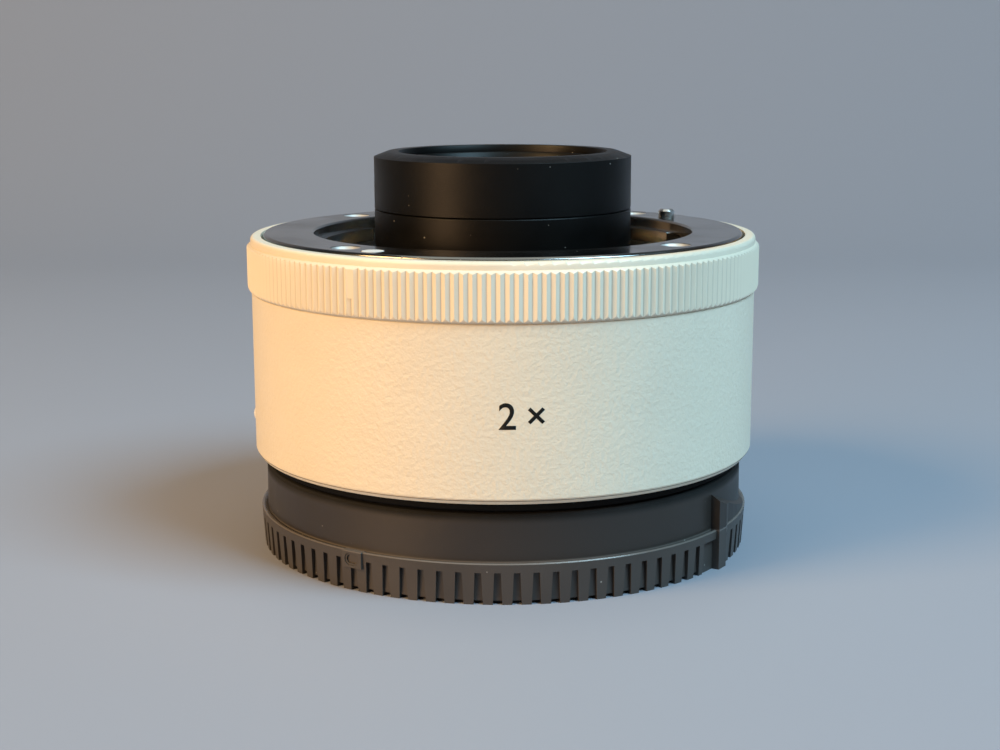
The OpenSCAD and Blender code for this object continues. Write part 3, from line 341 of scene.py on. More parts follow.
class Dust(Effect):
    """Pale specks of dust, of uneven size."""

    name = "dust_specks"
    takes = (("Spacing", 1.2), ("Amount", 0.5))
    gives = ("Mask",)
    radii = (0.05, 0.17)
    core = 0.5

    def wire(self, wiring: Wiring, inside: bpy.types.Node, out: bpy.types.Node) -> None:
        """Puts one speck in some cells of a cell pattern; the spacing is in millimetres.

        Args:
            wiring: The group's nodes.
            inside: The group's input node.
            out: The group's output node.
        """
        cells = wiring.add("TexVoronoi")
        wiring.feed(cells.inputs["Vector"], inside.outputs["Vector"])
        wiring.feed(cells.inputs["Scale"], wiring.fineness(inside.outputs["Spacing"]))
        draws = wiring.add("SeparateColor")
        wiring.feed(draws.inputs[0], cells.outputs["Color"])
        bare = wiring.sum("SUBTRACT", 1.0, inside.outputs["Amount"])
        chance = wiring.span(draws.outputs[0], bare, 1.0)
        radius = wiring.span(draws.outputs[1], 0.0, 1.0, *self.radii)
        radius = wiring.sum("MULTIPLY", chance, radius)
        inner = wiring.sum("MULTIPLY", radius, self.core)
        mask = wiring.span(cells.outputs["Distance"], inner, radius, 1.0, 0.0)
        wiring.feed(out.inputs["Mask"], mask)


class TurnedLines(Effect):
    """Fine rings left by a lathe about the optical axis."""

    name = "turned_lines"
    takes = (("Pitch", 0.12),)
    gives = ("Height",)

    def wire(self, wiring: Wiring, inside: bpy.types.Node, out: bpy.types.Node) -> None:
        """Reads noise by radius and height only; the pitch is in millimetres.

        Args:
            wiring: The group's nodes.
            inside: The group's input node.
            out: The group's output node.
        """
        vector = inside.outputs["Vector"]
        place = wiring.add("CombineXYZ")
        wiring.feed(place.inputs[0], wiring.radius(vector))
        wiring.feed(place.inputs[1], wiring.height(vector))
        scale = wiring.fineness(inside.outputs["Pitch"])
        wiring.feed(out.inputs["Height"], wiring.noise(place.outputs[0], scale))


class Depths(Effect):
    """How deep a point lies between two radii from the optical axis."""

    name = "depth_below_skin"
    takes = (("Inner", 0.030), ("Outer", 0.031), ("Top", 0.037))
    gives = ("Mask",)

    def wire(self, wiring: Wiring, inside: bpy.types.Node, out: bpy.types.Node) -> None:
        """Gives 1 within the inner radius and 0 beyond the outer one or above the top.

        Args:
            wiring: The group's nodes.
            inside: The group's input node, with its sizes in metres.
            out: The group's output node.
        """
        vector = inside.outputs["Vector"]
        inner, outer, top = (inside.outputs[label] for label, _ in self.takes)
        deep = wiring.span(wiring.radius(vector), inner, outer, 1.0, 0.0)
        below = wiring.sum("LESS_THAN", wiring.height(vector), top)
        wiring.feed(out.inputs["Mask"], wiring.sum("MULTIPLY", deep, below))


class Band(Effect):
    """A level band round the object, between two heights."""

    name = "level_band"
    takes = (("Low", 0.0), ("High", 0.001), ("Soft", 0.0001))
    gives = ("Mask",)

    def wire(self, wiring: Wiring, inside: bpy.types.Node, out: bpy.types.Node) -> None:
        """Gives 1 between the heights and fades to 0 beyond them.

        Args:
            wiring: The group's nodes.
            inside: The group's input node, with its sizes in metres.
            out: The group's output node.
        """
        height = wiring.height(inside.outputs["Vector"])
        low, high, soft = (inside.outputs[label] for label, _ in self.takes)
        rise = wiring.span(height, wiring.sum("SUBTRACT", low, soft), low)
        fall = wiring.span(height, high, wiring.sum("ADD", high, soft), 1.0, 0.0)
        wiring.feed(out.inputs["Mask"], wiring.sum("MULTIPLY", rise, fall))


@dataclass(frozen=True)
class Level:
    """A band of another colour and gloss round a finish, with its sizes in millimetres."""

    low: float
    high: float
    soft: float
    colour: Colour
    share: float
    rougher: float = 0.0
    beyond: float = 0.0
    within: float = 0.0
    radius_soft: float = 0.2

    def mask(self, wiring: Wiring, place: Socket) -> Socket:
        """Marks the band or, where it has radii, what lies between them in it.

        Args:
            wiring: The material's nodes.
            place: The Object coordinates.

        Returns:
            The mask's socket, 1 in the band and 0 elsewhere.
        """
        low, high, soft = (size * MM for size in (self.low, self.high, self.soft))
        mask = Band().place(wiring, place, Low=low, High=high, Soft=soft).outputs["Mask"]
        if self.within:
            near, far = (self.inside(wiring, place, r) for r in (self.beyond, self.within))
            mask = wiring.sum("MULTIPLY", mask, wiring.sum("SUBTRACT", far, near))
        return mask

    def inside(self, wiring: Wiring, place: Socket, radius_mm: float) -> Socket:
        """Marks what lies within a radius, at any height.

        Args:
            wiring: The material's nodes.
            place: The Object coordinates.
            radius_mm: The radius from the optical axis.

        Returns:
            The mask's socket.
        """
        inner, outer = radius_mm * MM, (radius_mm + self.radius_soft) * MM
        node = Depths().place(wiring, place, Inner=inner, Outer=outer, Top=ANY_HEIGHT)
        return node.outputs["Mask"]


@dataclass(frozen=True)
class Surface:
    """A surface with one material, which its pieces share."""

    solidity: ClassVar[float] = 1.0
    name: str
    colour: Colour

    def material(self) -> bpy.types.Material:
        """Builds the material on the first call.

        Returns:
            The surface's material.
        """
        found = bpy.data.materials.get(self.name)
        if found:
            return found
        made = bpy.data.materials.new(self.name)
        made.use_nodes = True
        made.node_tree.nodes.clear()
        wiring = Wiring(made.node_tree)
        shader = wiring.add("BsdfPrincipled")
        out = wiring.add("OutputMaterial")
        wiring.feed(out.inputs["Surface"], shader.outputs[0])
        self.wire(wiring, shader, wiring.add("TexCoord").outputs["Object"])
        made.diffuse_color = (*self.colour, self.solidity)
        return made

    def wire(self, wiring: Wiring, shader: bpy.types.Node, place: Socket) -> None:
        """Sets the shader's sockets; each kind of surface has its own."""
        raise NotImplementedError


@dataclass(frozen=True)
class Finish(Surface):
    """One surface finish: its colours, gloss, grain, tool marks and dust, with painted shade and
    painted highlights where it has them.
    """

    second: Colour
    roughness: float
    metallic: float = 0.0
    specular: float = 0.5
    gloss_spread: Tuple[float, float] = (0.04, 0.05)
    grain_mm: float = 0.4
    grain_depth_mm: float = 0.0
    grain_tone: float = 0.0
    mottle_mm: float = 9.0
    turning: Turning = Turning.NONE
    turning_pitch_mm: float = 0.10
    dust: float = 0.0
    dust_mm: float = 0.9
    dust_share: float = 0.7
    dust_roughness: float = 0.9
    dust_colour: Colour = (0.42, 0.40, 0.37)
    coat: float = 0.0
    coat_roughness: float = 0.12
    # Painted shade: a darker colour in the hollows inside the given radii and below the given top.
    hollow_shade_radii: Tuple[float, float] = (0.0, 0.0)
    hollow_shade_top: float = 0.0
    hollow_shade_colour: Colour = (0.2, 0.17, 0.13)
    hollow_shade_share: float = 0.0
    levels: Tuple[Level, ...] = ()

    def wire(self, wiring: Wiring, shader: bpy.types.Node, place: Socket) -> None:
        """Sets the shader's colour, gloss, metal, relief and coat.

        Args:
            wiring: The material's nodes.
            shader: The Principled BSDF.
            place: The Object coordinates.
        """
        self.paint(wiring, shader, place)
        self.relief(wiring, shader, place)
        shader.inputs["Metallic"].default_value = self.metallic
        shader.inputs["Specular IOR Level"].default_value = self.specular
        if self.coat:
            shader.inputs["Coat Weight"].default_value = self.coat
            shader.inputs["Coat Roughness"].default_value = self.coat_roughness

    def paint(self, wiring: Wiring, shader: bpy.types.Node, place: Socket) -> None:
        """Wires the colour and the gloss.

        Args:
            wiring: The material's nodes.
            shader: The Principled BSDF.
            place: The Object coordinates.
        """
        tone = Mottle().place(wiring, place, Size=self.mottle_mm).outputs["Tone"]
        colour = wiring.tint(tone, self.colour, self.second)
        below, above = self.gloss_spread
        gloss = wiring.span(tone, 0.0, 1.0, self.roughness - below, self.roughness + above)
        if self.grain_tone:
            spots = Pebble().place(wiring, place, Size=self.grain_mm).outputs["Tone"]
            dark = tuple(part * (1.0 - self.grain_tone) for part in self.colour)
            colour = wiring.tint(wiring.sum("MULTIPLY", spots, self.grain_tone), colour, dark)
        # Painted shade in the hollows.
        if self.hollow_shade_share:
            inner, outer, top = (size * MM for size in (*self.hollow_shade_radii, self.hollow_shade_top))
            hollow = Depths().place(wiring, place, Inner=inner, Outer=outer, Top=top)
            share = wiring.sum("MULTIPLY", hollow.outputs["Mask"], self.hollow_shade_share)
            colour = wiring.tint(share, colour, self.hollow_shade_colour)
        # Levels are bands of colour and gloss; some of them are painted shade or painted
        # highlight.
        for level in self.levels:
            mask = level.mask(wiring, place)
            colour = wiring.tint(wiring.sum("MULTIPLY", mask, level.share), colour, level.colour)
            gloss = wiring.sum("ADD", gloss, wiring.sum("MULTIPLY", mask, level.rougher))
        if self.dust:
            specks = Dust().place(wiring, place, Spacing=self.dust_mm, Amount=self.dust)
            mask = specks.outputs["Mask"]
            share = wiring.sum("MULTIPLY", mask, self.dust_share)
            colour = wiring.tint(share, colour, self.dust_colour)
            dull = wiring.sum("MULTIPLY", mask, self.dust_roughness)
            gloss = wiring.sum("MAXIMUM", gloss, dull)
        wiring.feed(shader.inputs["Base Color"], colour)
        wiring.feed(shader.inputs["Roughness"], gloss)

    def relief(self, wiring: Wiring, shader: bpy.types.Node, place: Socket) -> None:
        """Wires the grain and the tool marks into the surface's normal.

        Args:
            wiring: The material's nodes.
            shader: The Principled BSDF.
            place: The Object coordinates.
        """
        reliefs: List[Tuple[Socket, float]] = []
        if self.grain_depth_mm:
            grain = Pebble().place(wiring, place, Size=self.grain_mm).outputs["Height"]
            reliefs.append((grain, self.grain_depth_mm))
        if self.turning is not Turning.NONE:
            lines = TurnedLines().place(wiring, place, Pitch=self.turning_pitch_mm)
            reliefs.append((lines.outputs["Height"], self.turning.value))
        target = shader.inputs["Normal"]
        for height, depth_mm in reversed(reliefs):
            bump = wiring.add("Bump")
            bump.inputs["Distance"].default_value = depth_mm * MM
            wiring.feed(bump.inputs["Height"], height)
            wiring.feed(target, bump.outputs[0])
            target = bump.inputs["Normal"]


@dataclass(frozen=True)
class CoatedGlass(Surface):
    """Optical glass with a thin coating, seen in its faint coloured reflection."""

    solidity: ClassVar[float] = 0.3
    colour: Colour = (0.96, 0.98, 0.97)
    index: float = 1.62
    film_nm: float = 420.0
    film_index: float = 1.36
    dust: float = 0.25
    dust_mm: float = 1.6
    dust_roughness: float = 0.5
    dust_colour: Colour = (0.5, 0.5, 0.48)

    def wire(self, wiring: Wiring, shader: bpy.types.Node, place: Socket) -> None:
        """Sets the shader's glass, coating and dust.

        Args:
            wiring: The material's nodes.
            shader: The Principled BSDF.
            place: The Object coordinates.
        """
        specks = Dust().place(wiring, place, Spacing=self.dust_mm, Amount=self.dust)
        mask = specks.outputs["Mask"]
        colour = wiring.tint(mask, self.colour, self.dust_colour)
        wiring.feed(shader.inputs["Base Color"], colour)
        dull = wiring.sum("MULTIPLY", mask, self.dust_roughness)
        wiring.feed(shader.inputs["Roughness"], dull)
        shader.inputs["IOR"].default_value = self.index
        shader.inputs["Transmission Weight"].default_value = 1.0
        shader.inputs["Thin Film Thickness"].default_value = self.film_nm
        shader.inputs["Thin Film IOR"].default_value = self.film_index


BARREL_FOOT_LINE = Level(
    low=11.89, high=11.97, soft=0.03, colour=(0.10, 0.075, 0.05), share=0.85
)
# Painted highlight: the plate's screw countersinks take a much paler metal colour, with a rougher
# gloss, so they read as bright reflections.
COUNTERSINK_PAINTED_HIGHLIGHT = Level(
    low=37.0, high=38.12, soft=0.03, colour=(0.85, 0.84, 0.81), share=0.9, rougher=0.35,
    beyond=23.8, within=28.3,
)
# Painted shade: the cap's collar is a darker copy of the skirt's plastic.
CAP_COLLAR_PAINTED_SHADE = Level(low=4.95, high=10.2, soft=0.15, colour=(0.025, 0.0210, 0.0185), share=1.0)
# Painted shade: the top of the cap's collar fades to near black, with a rougher gloss, where the
# barrel shades it.
COLLAR_TOP_PAINTED_SHADE = Level(
    low=9.85, high=10.2, soft=1.0, colour=(0.002, 0.002, 0.002), share=0.95, rougher=0.5
)
# Painted highlight: a paler line along the skirt's rounded top edge, which is also glossier.
CAP_SKIRT_EDGE_PAINTED_HIGHLIGHT = Level(
    low=4.66, high=4.76, soft=0.03, colour=(0.20, 0.18, 0.165), share=0.6, rougher=-0.2
)

WHITE_PAINT = Finish(
    "pebbled_white_paint", (0.79, 0.72, 0.58), (0.76, 0.69, 0.555), roughness=0.42,
    grain_mm=0.54, grain_depth_mm=0.105, grain_tone=0.06, levels=(BARREL_FOOT_LINE,),
)
RING_PAINT = Finish(
    "ribbed_white_paint", (0.79, 0.72, 0.58), (0.76, 0.69, 0.555), roughness=0.40,
    grain_mm=0.30, grain_depth_mm=0.006,
    # Painted shade: the rib valleys of the grip ring are darkened.
    hollow_shade_radii=(30.955, 31.03), hollow_shade_top=36.8, hollow_shade_colour=(0.30, 0.25, 0.20),
    hollow_shade_share=0.4,
)
MARK_WHITE = Finish(
    "smooth_white_mark", (0.82, 0.80, 0.76), (0.78, 0.76, 0.72), roughness=0.35,
    grain_mm=0.3, grain_depth_mm=0.004,
)
MARK_INK = Finish(
    "printed_ink", (0.007, 0.007, 0.007), (0.010, 0.010, 0.009), roughness=0.55,
    specular=0.15, grain_mm=0.25, grain_depth_mm=0.006,
)
MOUNT_METAL = Finish(
    "turned_mount_metal", (0.34, 0.335, 0.325), (0.30, 0.295, 0.285), roughness=0.17,
    metallic=1.0, turning=Turning.FINE, dust=0.12, levels=(COUNTERSINK_PAINTED_HIGHLIGHT,),
)
SCREW_STEEL = Finish(
    "satin_screw_steel", (0.88, 0.87, 0.84), (0.82, 0.81, 0.78), roughness=0.42,
    metallic=0.2, grain_mm=0.2, grain_depth_mm=0.003,
)
PIN_STEEL = Finish(
    "polished_pin_steel", (0.78, 0.77, 0.75), (0.70, 0.69, 0.68), roughness=0.30,
    metallic=1.0, turning=Turning.FINE,
)
SPRING_STEEL = Finish(
    "drawn_spring_steel", (0.50, 0.50, 0.51), (0.42, 0.42, 0.44), roughness=0.30,
    metallic=1.0, turning=Turning.FINE,
)
CONTACT_PLASTIC = Finish(
    "matt_contact_plastic", (0.022, 0.022, 0.024), (0.030, 0.030, 0.031), roughness=0.50,
    grain_mm=0.15, grain_depth_mm=0.006,
)
CONTACT_GOLD = Finish(
    "plated_contact_gold", (0.83, 0.60, 0.24), (0.76, 0.52, 0.19), roughness=0.22,
    metallic=1.0, grain_mm=0.2, grain_depth_mm=0.002,
)
BLACK_METAL = Finish(
    "anodised_black_metal", (0.0016, 0.0016, 0.0016), (0.0024, 0.0023, 0.0022),
    roughness=0.40, specular=0.20, grain_mm=0.14, grain_depth_mm=0.013,
    turning=Turning.FINE, dust=0.35,
)
BLACK_PLASTIC = Finish(
    "matt_black_plastic", (0.016, 0.016, 0.017), (0.022, 0.022, 0.022), roughness=0.55,
    grain_mm=0.18, grain_depth_mm=0.008, dust=0.08,
)
CHASSIS_ALLOY = Finish(
    "machined_chassis_alloy", (0.42, 0.42, 0.43), (0.36, 0.36, 0.37), roughness=0.42,
    metallic=1.0, turning=Turning.CLEAR,
)
BOARD_GREEN = Finish(
    "solder_resist_green", (0.012, 0.105, 0.040), (0.018, 0.130, 0.052), roughness=0.38,
    grain_mm=0.5, grain_depth_mm=0.006, coat=0.3,
)
CHIP_BLACK = Finish(
    "moulded_chip_black", (0.020, 0.020, 0.021), (0.028, 0.028, 0.028), roughness=0.55,
    grain_mm=0.1, grain_depth_mm=0.004,
)
FLEX_AMBER = Finish(
    "polyimide_amber", (0.42, 0.19, 0.035), (0.34, 0.15, 0.03), roughness=0.30,
    grain_mm=0.8, grain_depth_mm=0.004,
)
# Black seal rubber, set darker still so the seal band carries the painted shade under the barrel's
# overhang.
SEAL_RUBBER_AND_SHADE = Finish(
    "seal_rubber_and_painted_shade", (0.004, 0.004, 0.004), (0.006, 0.006, 0.006), roughness=0.70,
    specular=0.1, grain_mm=0.2, grain_depth_mm=0.01,
)
# The cap's plastic carries painted shade on its collar and in its slots, and a painted highlight
# along the skirt's edge.
CAP_PLASTIC = Finish(
    "grained_cap_plastic", (0.050, 0.0440, 0.0400), (0.058, 0.0510, 0.0465), roughness=0.42,
    grain_mm=0.16, grain_depth_mm=0.009, dust=0.09,
    # Painted shade: the floors of the skirt's slots are darkened.
    hollow_shade_radii=(29.5, 29.85), hollow_shade_top=3.9, hollow_shade_colour=(0.012, 0.011, 0.011),
    hollow_shade_share=0.35, levels=(CAP_COLLAR_PAINTED_SHADE, COLLAR_TOP_PAINTED_SHADE, CAP_SKIRT_EDGE_PAINTED_HIGHLIGHT),
)
FRONT_GLASS = CoatedGlass("coated_front_glass", film_nm=470.0)
INNER_GLASS = CoatedGlass("coated_inner_glass", film_nm=330.0, index=1.7)


@dataclass(frozen=True)
class Rounding:
    """How a CAD node's sharp edges are broken for the render."""

    width_mm: float = 0.0
    segments: int = 2
    angle_deg: float = 24.0
    join_mm: float = 0.0002
    flat_deg: float = 0.3
    face_weight: int = 60

    def apply(self, node: bpy.types.Object) -> None:
        """Adds the modifiers that join the node's triangles and round its edges.

        Args:
            node: The CAD node's object; its own mesh stays as it is.
        """
        weld = node.modifiers.new("join", "WELD")
        weld.merge_threshold = self.join_mm * MM
        flat = node.modifiers.new("faces", "DECIMATE")
        flat.decimate_type = "DISSOLVE"
        flat.angle_limit = math.radians(self.flat_deg)
        bevel = node.modifiers.new("rounding", "BEVEL")
        bevel.width = self.width_mm * MM
        bevel.segments = self.segments
        bevel.limit_method = "ANGLE"
        bevel.angle_limit = math.radians(self.angle_deg)
        bevel.use_clamp_overlap = True
        normals = node.modifiers.new("shading", "WEIGHTED_NORMAL")
        normals.keep_sharp = False
        normals.weight = self.face_weight


UNROUNDED = Rounding()
ROUND_STEPS = 3


@dataclass
class SubAssembly:
    """CAD nodes that share a place in the object, with their finishes."""

    nodes: Dict[str, bpy.types.Object]

    def dress(self, surface: Surface, rounding: Rounding, *names: str) -> None:
        """Gives CAD nodes a surface and rounds their edges.

        Args:
            surface: The surface for these nodes.
            rounding: How their edges are broken.
            *names: The nodes' names.
        """
        for name in names:
            node = self.nodes[name]
            node.data.materials.clear()
            node.data.materials.append(surface.material())
            if rounding.width_mm:
                rounding.apply(node)
            LOG.info("%s: %s", name, surface.name)

    def build(self) -> None:
        """Dresses the nodes and models new pieces; each sub-assembly has its own."""
        raise NotImplementedError


@dataclass
class Barrel(SubAssembly):
    """White outer barrel with its grip ring, index bead and seal band."""

    edge_mm: float = 0.04
    rib_edge_mm: float = 0.035
    bead_edge_mm: float = 0.06

    def build(self) -> None:
        """Dresses the barrel's nodes."""
        self.dress(WHITE_PAINT, Rounding(self.edge_mm), "outer_barrel")
        self.dress(RING_PAINT, Rounding(self.rib_edge_mm), "grip_ring")
        self.dress(MARK_WHITE, Rounding(self.bead_edge_mm), "rear_index_bead")
        self.dress(SEAL_RUBBER_AND_SHADE, Rounding(self.edge_mm), "seal_ring")


@dataclass
class FactorMark(SubAssembly):
    """Plain magnification number printed on the front of the barrel."""

    digits: str = "2×"
    letter_mm: float = 4.15
    gap_share: float = 1.42
    bold_mm: float = 0.025
    curve_steps: int = 8
    cuts: int = 2
    merge_mm: float = 0.001
    left_mm: float = -0.6
    foot_mm: float = 19.9
    ahead_mm: float = 0.5
    print_mm: float = 0.02

    def build(self) -> None:
        """Models the mark, lays it on the barrel and gives it a printed thickness."""
        mark = self.letter()
        self.lay(mark)
        mark.data.materials.clear()
        mark.data.materials.append(MARK_INK.material())
        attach(mark, CARRIER)
        LOG.info("%s: %s", mark.name, MARK_INK.name)

    def letter(self) -> bpy.types.Object:
        """Models the mark as a flat mesh just ahead of the barrel.

        Returns:
            The mark, made of text and cut finely enough to bend.
        """
        bpy.ops.object.select_all(action="DESELECT")
        bpy.ops.object.text_add(location=(0, 0, 0))
        mark = bpy.context.object
        mark.name = "factor_mark"
        mark.data.body = self.digits
        mark.data.size = self.letter_mm * MM
        mark.data.space_character = self.gap_share
        mark.data.offset = self.bold_mm * MM
        mark.data.resolution_u = self.curve_steps
        bpy.ops.object.convert(target="MESH")
        mark = bpy.context.object
        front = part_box("outer_barrel")[0].y
        mark.rotation_euler = (math.pi / 2, 0, 0)
        mark.location = (self.left_mm * MM, front - self.ahead_mm * MM, self.foot_mm * MM)
        bpy.ops.object.transform_apply(location=True, rotation=True, scale=True)
        bpy.ops.object.mode_set(mode="EDIT")
        bpy.ops.mesh.select_all(action="SELECT")
        bpy.ops.mesh.remove_doubles(threshold=self.merge_mm * MM)
        bpy.ops.mesh.quads_convert_to_tris()
        bpy.ops.mesh.subdivide(number_cuts=self.cuts)
        bpy.ops.object.mode_set(mode="OBJECT")
        return mark

    def lay(self, mark: bpy.types.Object) -> None:
        """Wraps the mark round the barrel and thickens it.

        Args:
            mark: The flat mark, which is the active object.
        """
        wrap = mark.modifiers.new("wrap", "SHRINKWRAP")
        wrap.target = self.nodes["outer_barrel"]
        wrap.wrap_method = "PROJECT"
        wrap.use_project_y = True
        wrap.use_positive_direction = True
        wrap.use_negative_direction = False
        wrap.offset = self.print_mm * MM
        bpy.ops.object.modifier_apply(modifier="wrap")
        wall = mark.modifiers.new("wall", "SOLIDIFY")
        wall.thickness = 2 * self.print_mm * MM
        wall.offset = -1.0
        bpy.ops.object.modifier_apply(modifier="wall")
        bpy.ops.object.mode_set(mode="EDIT")
        bpy.ops.mesh.select_all(action="SELECT")
        bpy.ops.mesh.normals_make_consistent(inside=False)
        bpy.ops.object.mode_set(mode="OBJECT")


@dataclass(frozen=True)
class Seat:
    """The place of one spring: its name, the node it goes round and its pin's joint."""

    name: str
    node: str
    joint: str


@dataclass(frozen=True)
class Coil:
    """A coil spring that stands for a CAD spring."""

    stands_for: str
    mean_radius_mm: float
    wire_radius_mm: float
    turns: int
    travel_mm: float
    wire_sides: int = 12
    turn_steps: int = 24

    def build(self, seats: Sequence[Seat]) -> None:
        """Winds the spring once and sets a copy at each seat.

        Args:
            seats: The places of the springs.
        """
        low, high = (corner.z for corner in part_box(self.stands_for))
        pattern = self.wind(low, high)
        for seat in seats:
            middle = (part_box(seat.node)[0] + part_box(seat.node)[1]) / 2
            spring = self.copy(pattern, seat.name, middle)
            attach(spring, CARRIER)
            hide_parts(self.stands_for)
            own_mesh(spring)
            LOG.info("%s: %s", seat.name, SPRING_STEEL.name)
        bpy.data.meshes.remove(pattern.data)

    def wind(self, low: float, high: float) -> bpy.types.Object:
        """Winds a ring of wire about the optical axis.

        Args:
            low: The height of the spring's foot.
            high: The height of its top.

        Returns:
            The spring that the others are copied from.
        """
        wire = self.wire_radius_mm * MM
        bpy.ops.object.select_all(action="DESELECT")
        bpy.ops.mesh.primitive_circle_add(
            vertices=self.wire_sides, radius=wire, fill_type="NOTHING", location=(0, 0, 0)
        )
        spring = bpy.context.object
        spring.name = "spring_pattern"
        bpy.ops.object.mode_set(mode="EDIT")
        bpy.ops.mesh.select_all(action="SELECT")
        bpy.ops.transform.rotate(value=math.pi / 2, orient_axis="X", center_override=(0, 0, 0))
        bpy.ops.transform.translate(value=(self.mean_radius_mm * MM, 0, low + wire))
        bpy.ops.object.mode_set(mode="OBJECT")
        wind = spring.modifiers.new("wind", "SCREW")
        wind.screw_offset = (high - low - 2 * wire) / self.turns
        wind.iterations = self.turns
        wind.steps = wind.render_steps = self.turn_steps
        bpy.ops.object.modifier_apply(modifier="wind")
        bpy.ops.object.mode_set(mode="EDIT")
        bpy.ops.mesh.select_all(action="SELECT")
        bpy.ops.mesh.fill_holes(sides=self.wire_sides)
        bpy.ops.mesh.select_all(action="SELECT")
        bpy.ops.mesh.normals_make_consistent(inside=False)
        bpy.ops.object.mode_set(mode="OBJECT")
        spring.data.materials.append(SPRING_STEEL.material())
        return spring

    def copy(self, pattern: bpy.types.Object, name: str, middle: Vector) -> bpy.types.Object:
        """Copies the wound spring, with its own mesh, to another axis.

        Args:
            pattern: The wound spring.
            name: The copy's name.
            middle: A point on the copy's axis.

        Returns:
            The copy.
        """
        bpy.ops.object.select_all(action="DESELECT")
        pattern.select_set(True)
        bpy.context.view_layer.objects.active = pattern
        bpy.ops.object.duplicate()
        spring = bpy.context.object
        spring.name = name
        spring.location = (middle.x, middle.y, 0)
        bpy.ops.object.transform_apply(location=True, rotation=True, scale=True)
        return spring


@dataclass
class FrontMount(SubAssembly):
    """Front bayonet plate with its screws, dot, lock pin, contacts and liner."""

    plate_edge_mm: float = 0.07
    small_edge_mm: float = 0.05
    pin_edge_mm: float = 0.12
    block_edge_mm: float = 0.08
    liner_edge_mm: float = 0.10
    contacts: int = 10
    lock_coil: Coil = Coil(
        "lock_pin_spring", mean_radius_mm=1.19, wire_radius_mm=0.16, turns=4, travel_mm=1.8
    )
    contact_coil: Coil = Coil(
        "contact_springs", mean_radius_mm=0.55, wire_radius_mm=0.09, turns=3, travel_mm=0.6
    )

    def build(self) -> None:
        """Dresses the front mount's nodes and winds its springs."""
        small = Rounding(self.small_edge_mm)
        pins = [f"contact_pin_{number}" for number in range(1, self.contacts + 1)]
        self.dress(MOUNT_METAL, Rounding(self.plate_edge_mm, ROUND_STEPS), "front_mount_plate")
        self.dress(SPRING_STEEL, small, "front_mount_spring", "lock_pin_spring", "contact_springs")
        self.dress(SCREW_STEEL, small, "front_mount_screws", "front_block_screws", "lever_screws")
        self.dress(MARK_WHITE, small, "front_index_dot")
        self.dress(PIN_STEEL, Rounding(self.pin_edge_mm, ROUND_STEPS), "lock_pin")
        self.dress(CONTACT_PLASTIC, Rounding(self.block_edge_mm), "front_contact_block")
        self.dress(BLACK_PLASTIC, Rounding(self.liner_edge_mm), "front_liner", "release_lever")
        self.dress(CONTACT_GOLD, small, *pins)
        self.lock_coil.build([Seat("lock_spring_coil", "lock_pin_spring", "lock_pin_slide")])
        self.contact_coil.build(
            [Seat(f"contact_spring_{i}", pin, f"{pin}_press") for i, pin in enumerate(pins, 1)]
        )


@dataclass
class LensTube(SubAssembly):
    """Black lens tube and front cell, with the glass and rings they hold."""

    edge_mm: float = 0.03
    ring_edge_mm: float = 0.07
    screw_edge_mm: float = 0.05
    glass_count: int = 8

    def build(self) -> None:
        """Dresses the tube, the cells, the rings and the glass."""
        shown = Rounding(self.edge_mm, ROUND_STEPS)
        ring = Rounding(self.ring_edge_mm)
        inner = [f"lens_{number}" for number in range(2, self.glass_count)]
        self.dress(BLACK_METAL, shown, "front_lens_tube", "front_lens_cell")
        self.dress(BLACK_METAL, ring, "front_retaining_ring", "tube_retaining_ring", "lens_spacer")
        self.dress(BLACK_METAL, ring, "rear_lens_cell", "rear_lens_spacer", "rear_retaining_ring")
        self.dress(SCREW_STEEL, Rounding(self.screw_edge_mm), "tube_screws", "rear_cell_screws")
        self.dress(FRONT_GLASS, UNROUNDED, "lens_1", f"lens_{self.glass_count}")
        self.dress(INNER_GLASS, UNROUNDED, *inner)


@dataclass
class Inside(SubAssembly):
    """Chassis, circuit board and flexible circuits inside the barrel."""

    edge_mm: float = 0.08
    board_edge_mm: float = 0.04
    screw_edge_mm: float = 0.05

    def build(self) -> None:
        """Dresses what the barrel holds."""
        self.dress(CHASSIS_ALLOY, Rounding(self.edge_mm), "chassis")
        self.dress(BOARD_GREEN, Rounding(self.board_edge_mm), "circuit_board")
        self.dress(CHIP_BLACK, Rounding(self.board_edge_mm), "board_chips")
        self.dress(SCREW_STEEL, Rounding(self.screw_edge_mm), "board_screws")
        self.dress(FLEX_AMBER, UNROUNDED, "front_flex", "rear_flex")


@dataclass
class RearMount(SubAssembly):
    """Rear bayonet with its shim, screws, contacts and baffle."""

    edge_mm: float = 0.10
    screw_edge_mm: float = 0.05
    block_edge_mm: float = 0.08
    pad_edge_mm: float = 0.03

    def build(self) -> None:
        """Dresses the rear mount's nodes."""
        screw, block = Rounding(self.screw_edge_mm), Rounding(self.block_edge_mm)
        self.dress(MOUNT_METAL, Rounding(self.edge_mm), "rear_mount")
        self.dress(SPRING_STEEL, UNROUNDED, "mount_shim")
        self.dress(SCREW_STEEL, screw, "rear_mount_screws", "rear_block_screws")
        self.dress(BLACK_PLASTIC, block, "rear_baffle")
        self.dress(CONTACT_PLASTIC, block, "rear_contact_block")
        self.dress(CONTACT_GOLD, Rounding(self.pad_edge_mm), "rear_contact_pads")


@dataclass
class RearCap(SubAssembly):
    """Dark rear cap with its ribbed skirt, index pad and thumb ramp; its bevels are its own."""

    def build(self) -> None:
        """Dresses the cap."""
        self.dress(CAP_PLASTIC, UNROUNDED, "rear_cap")


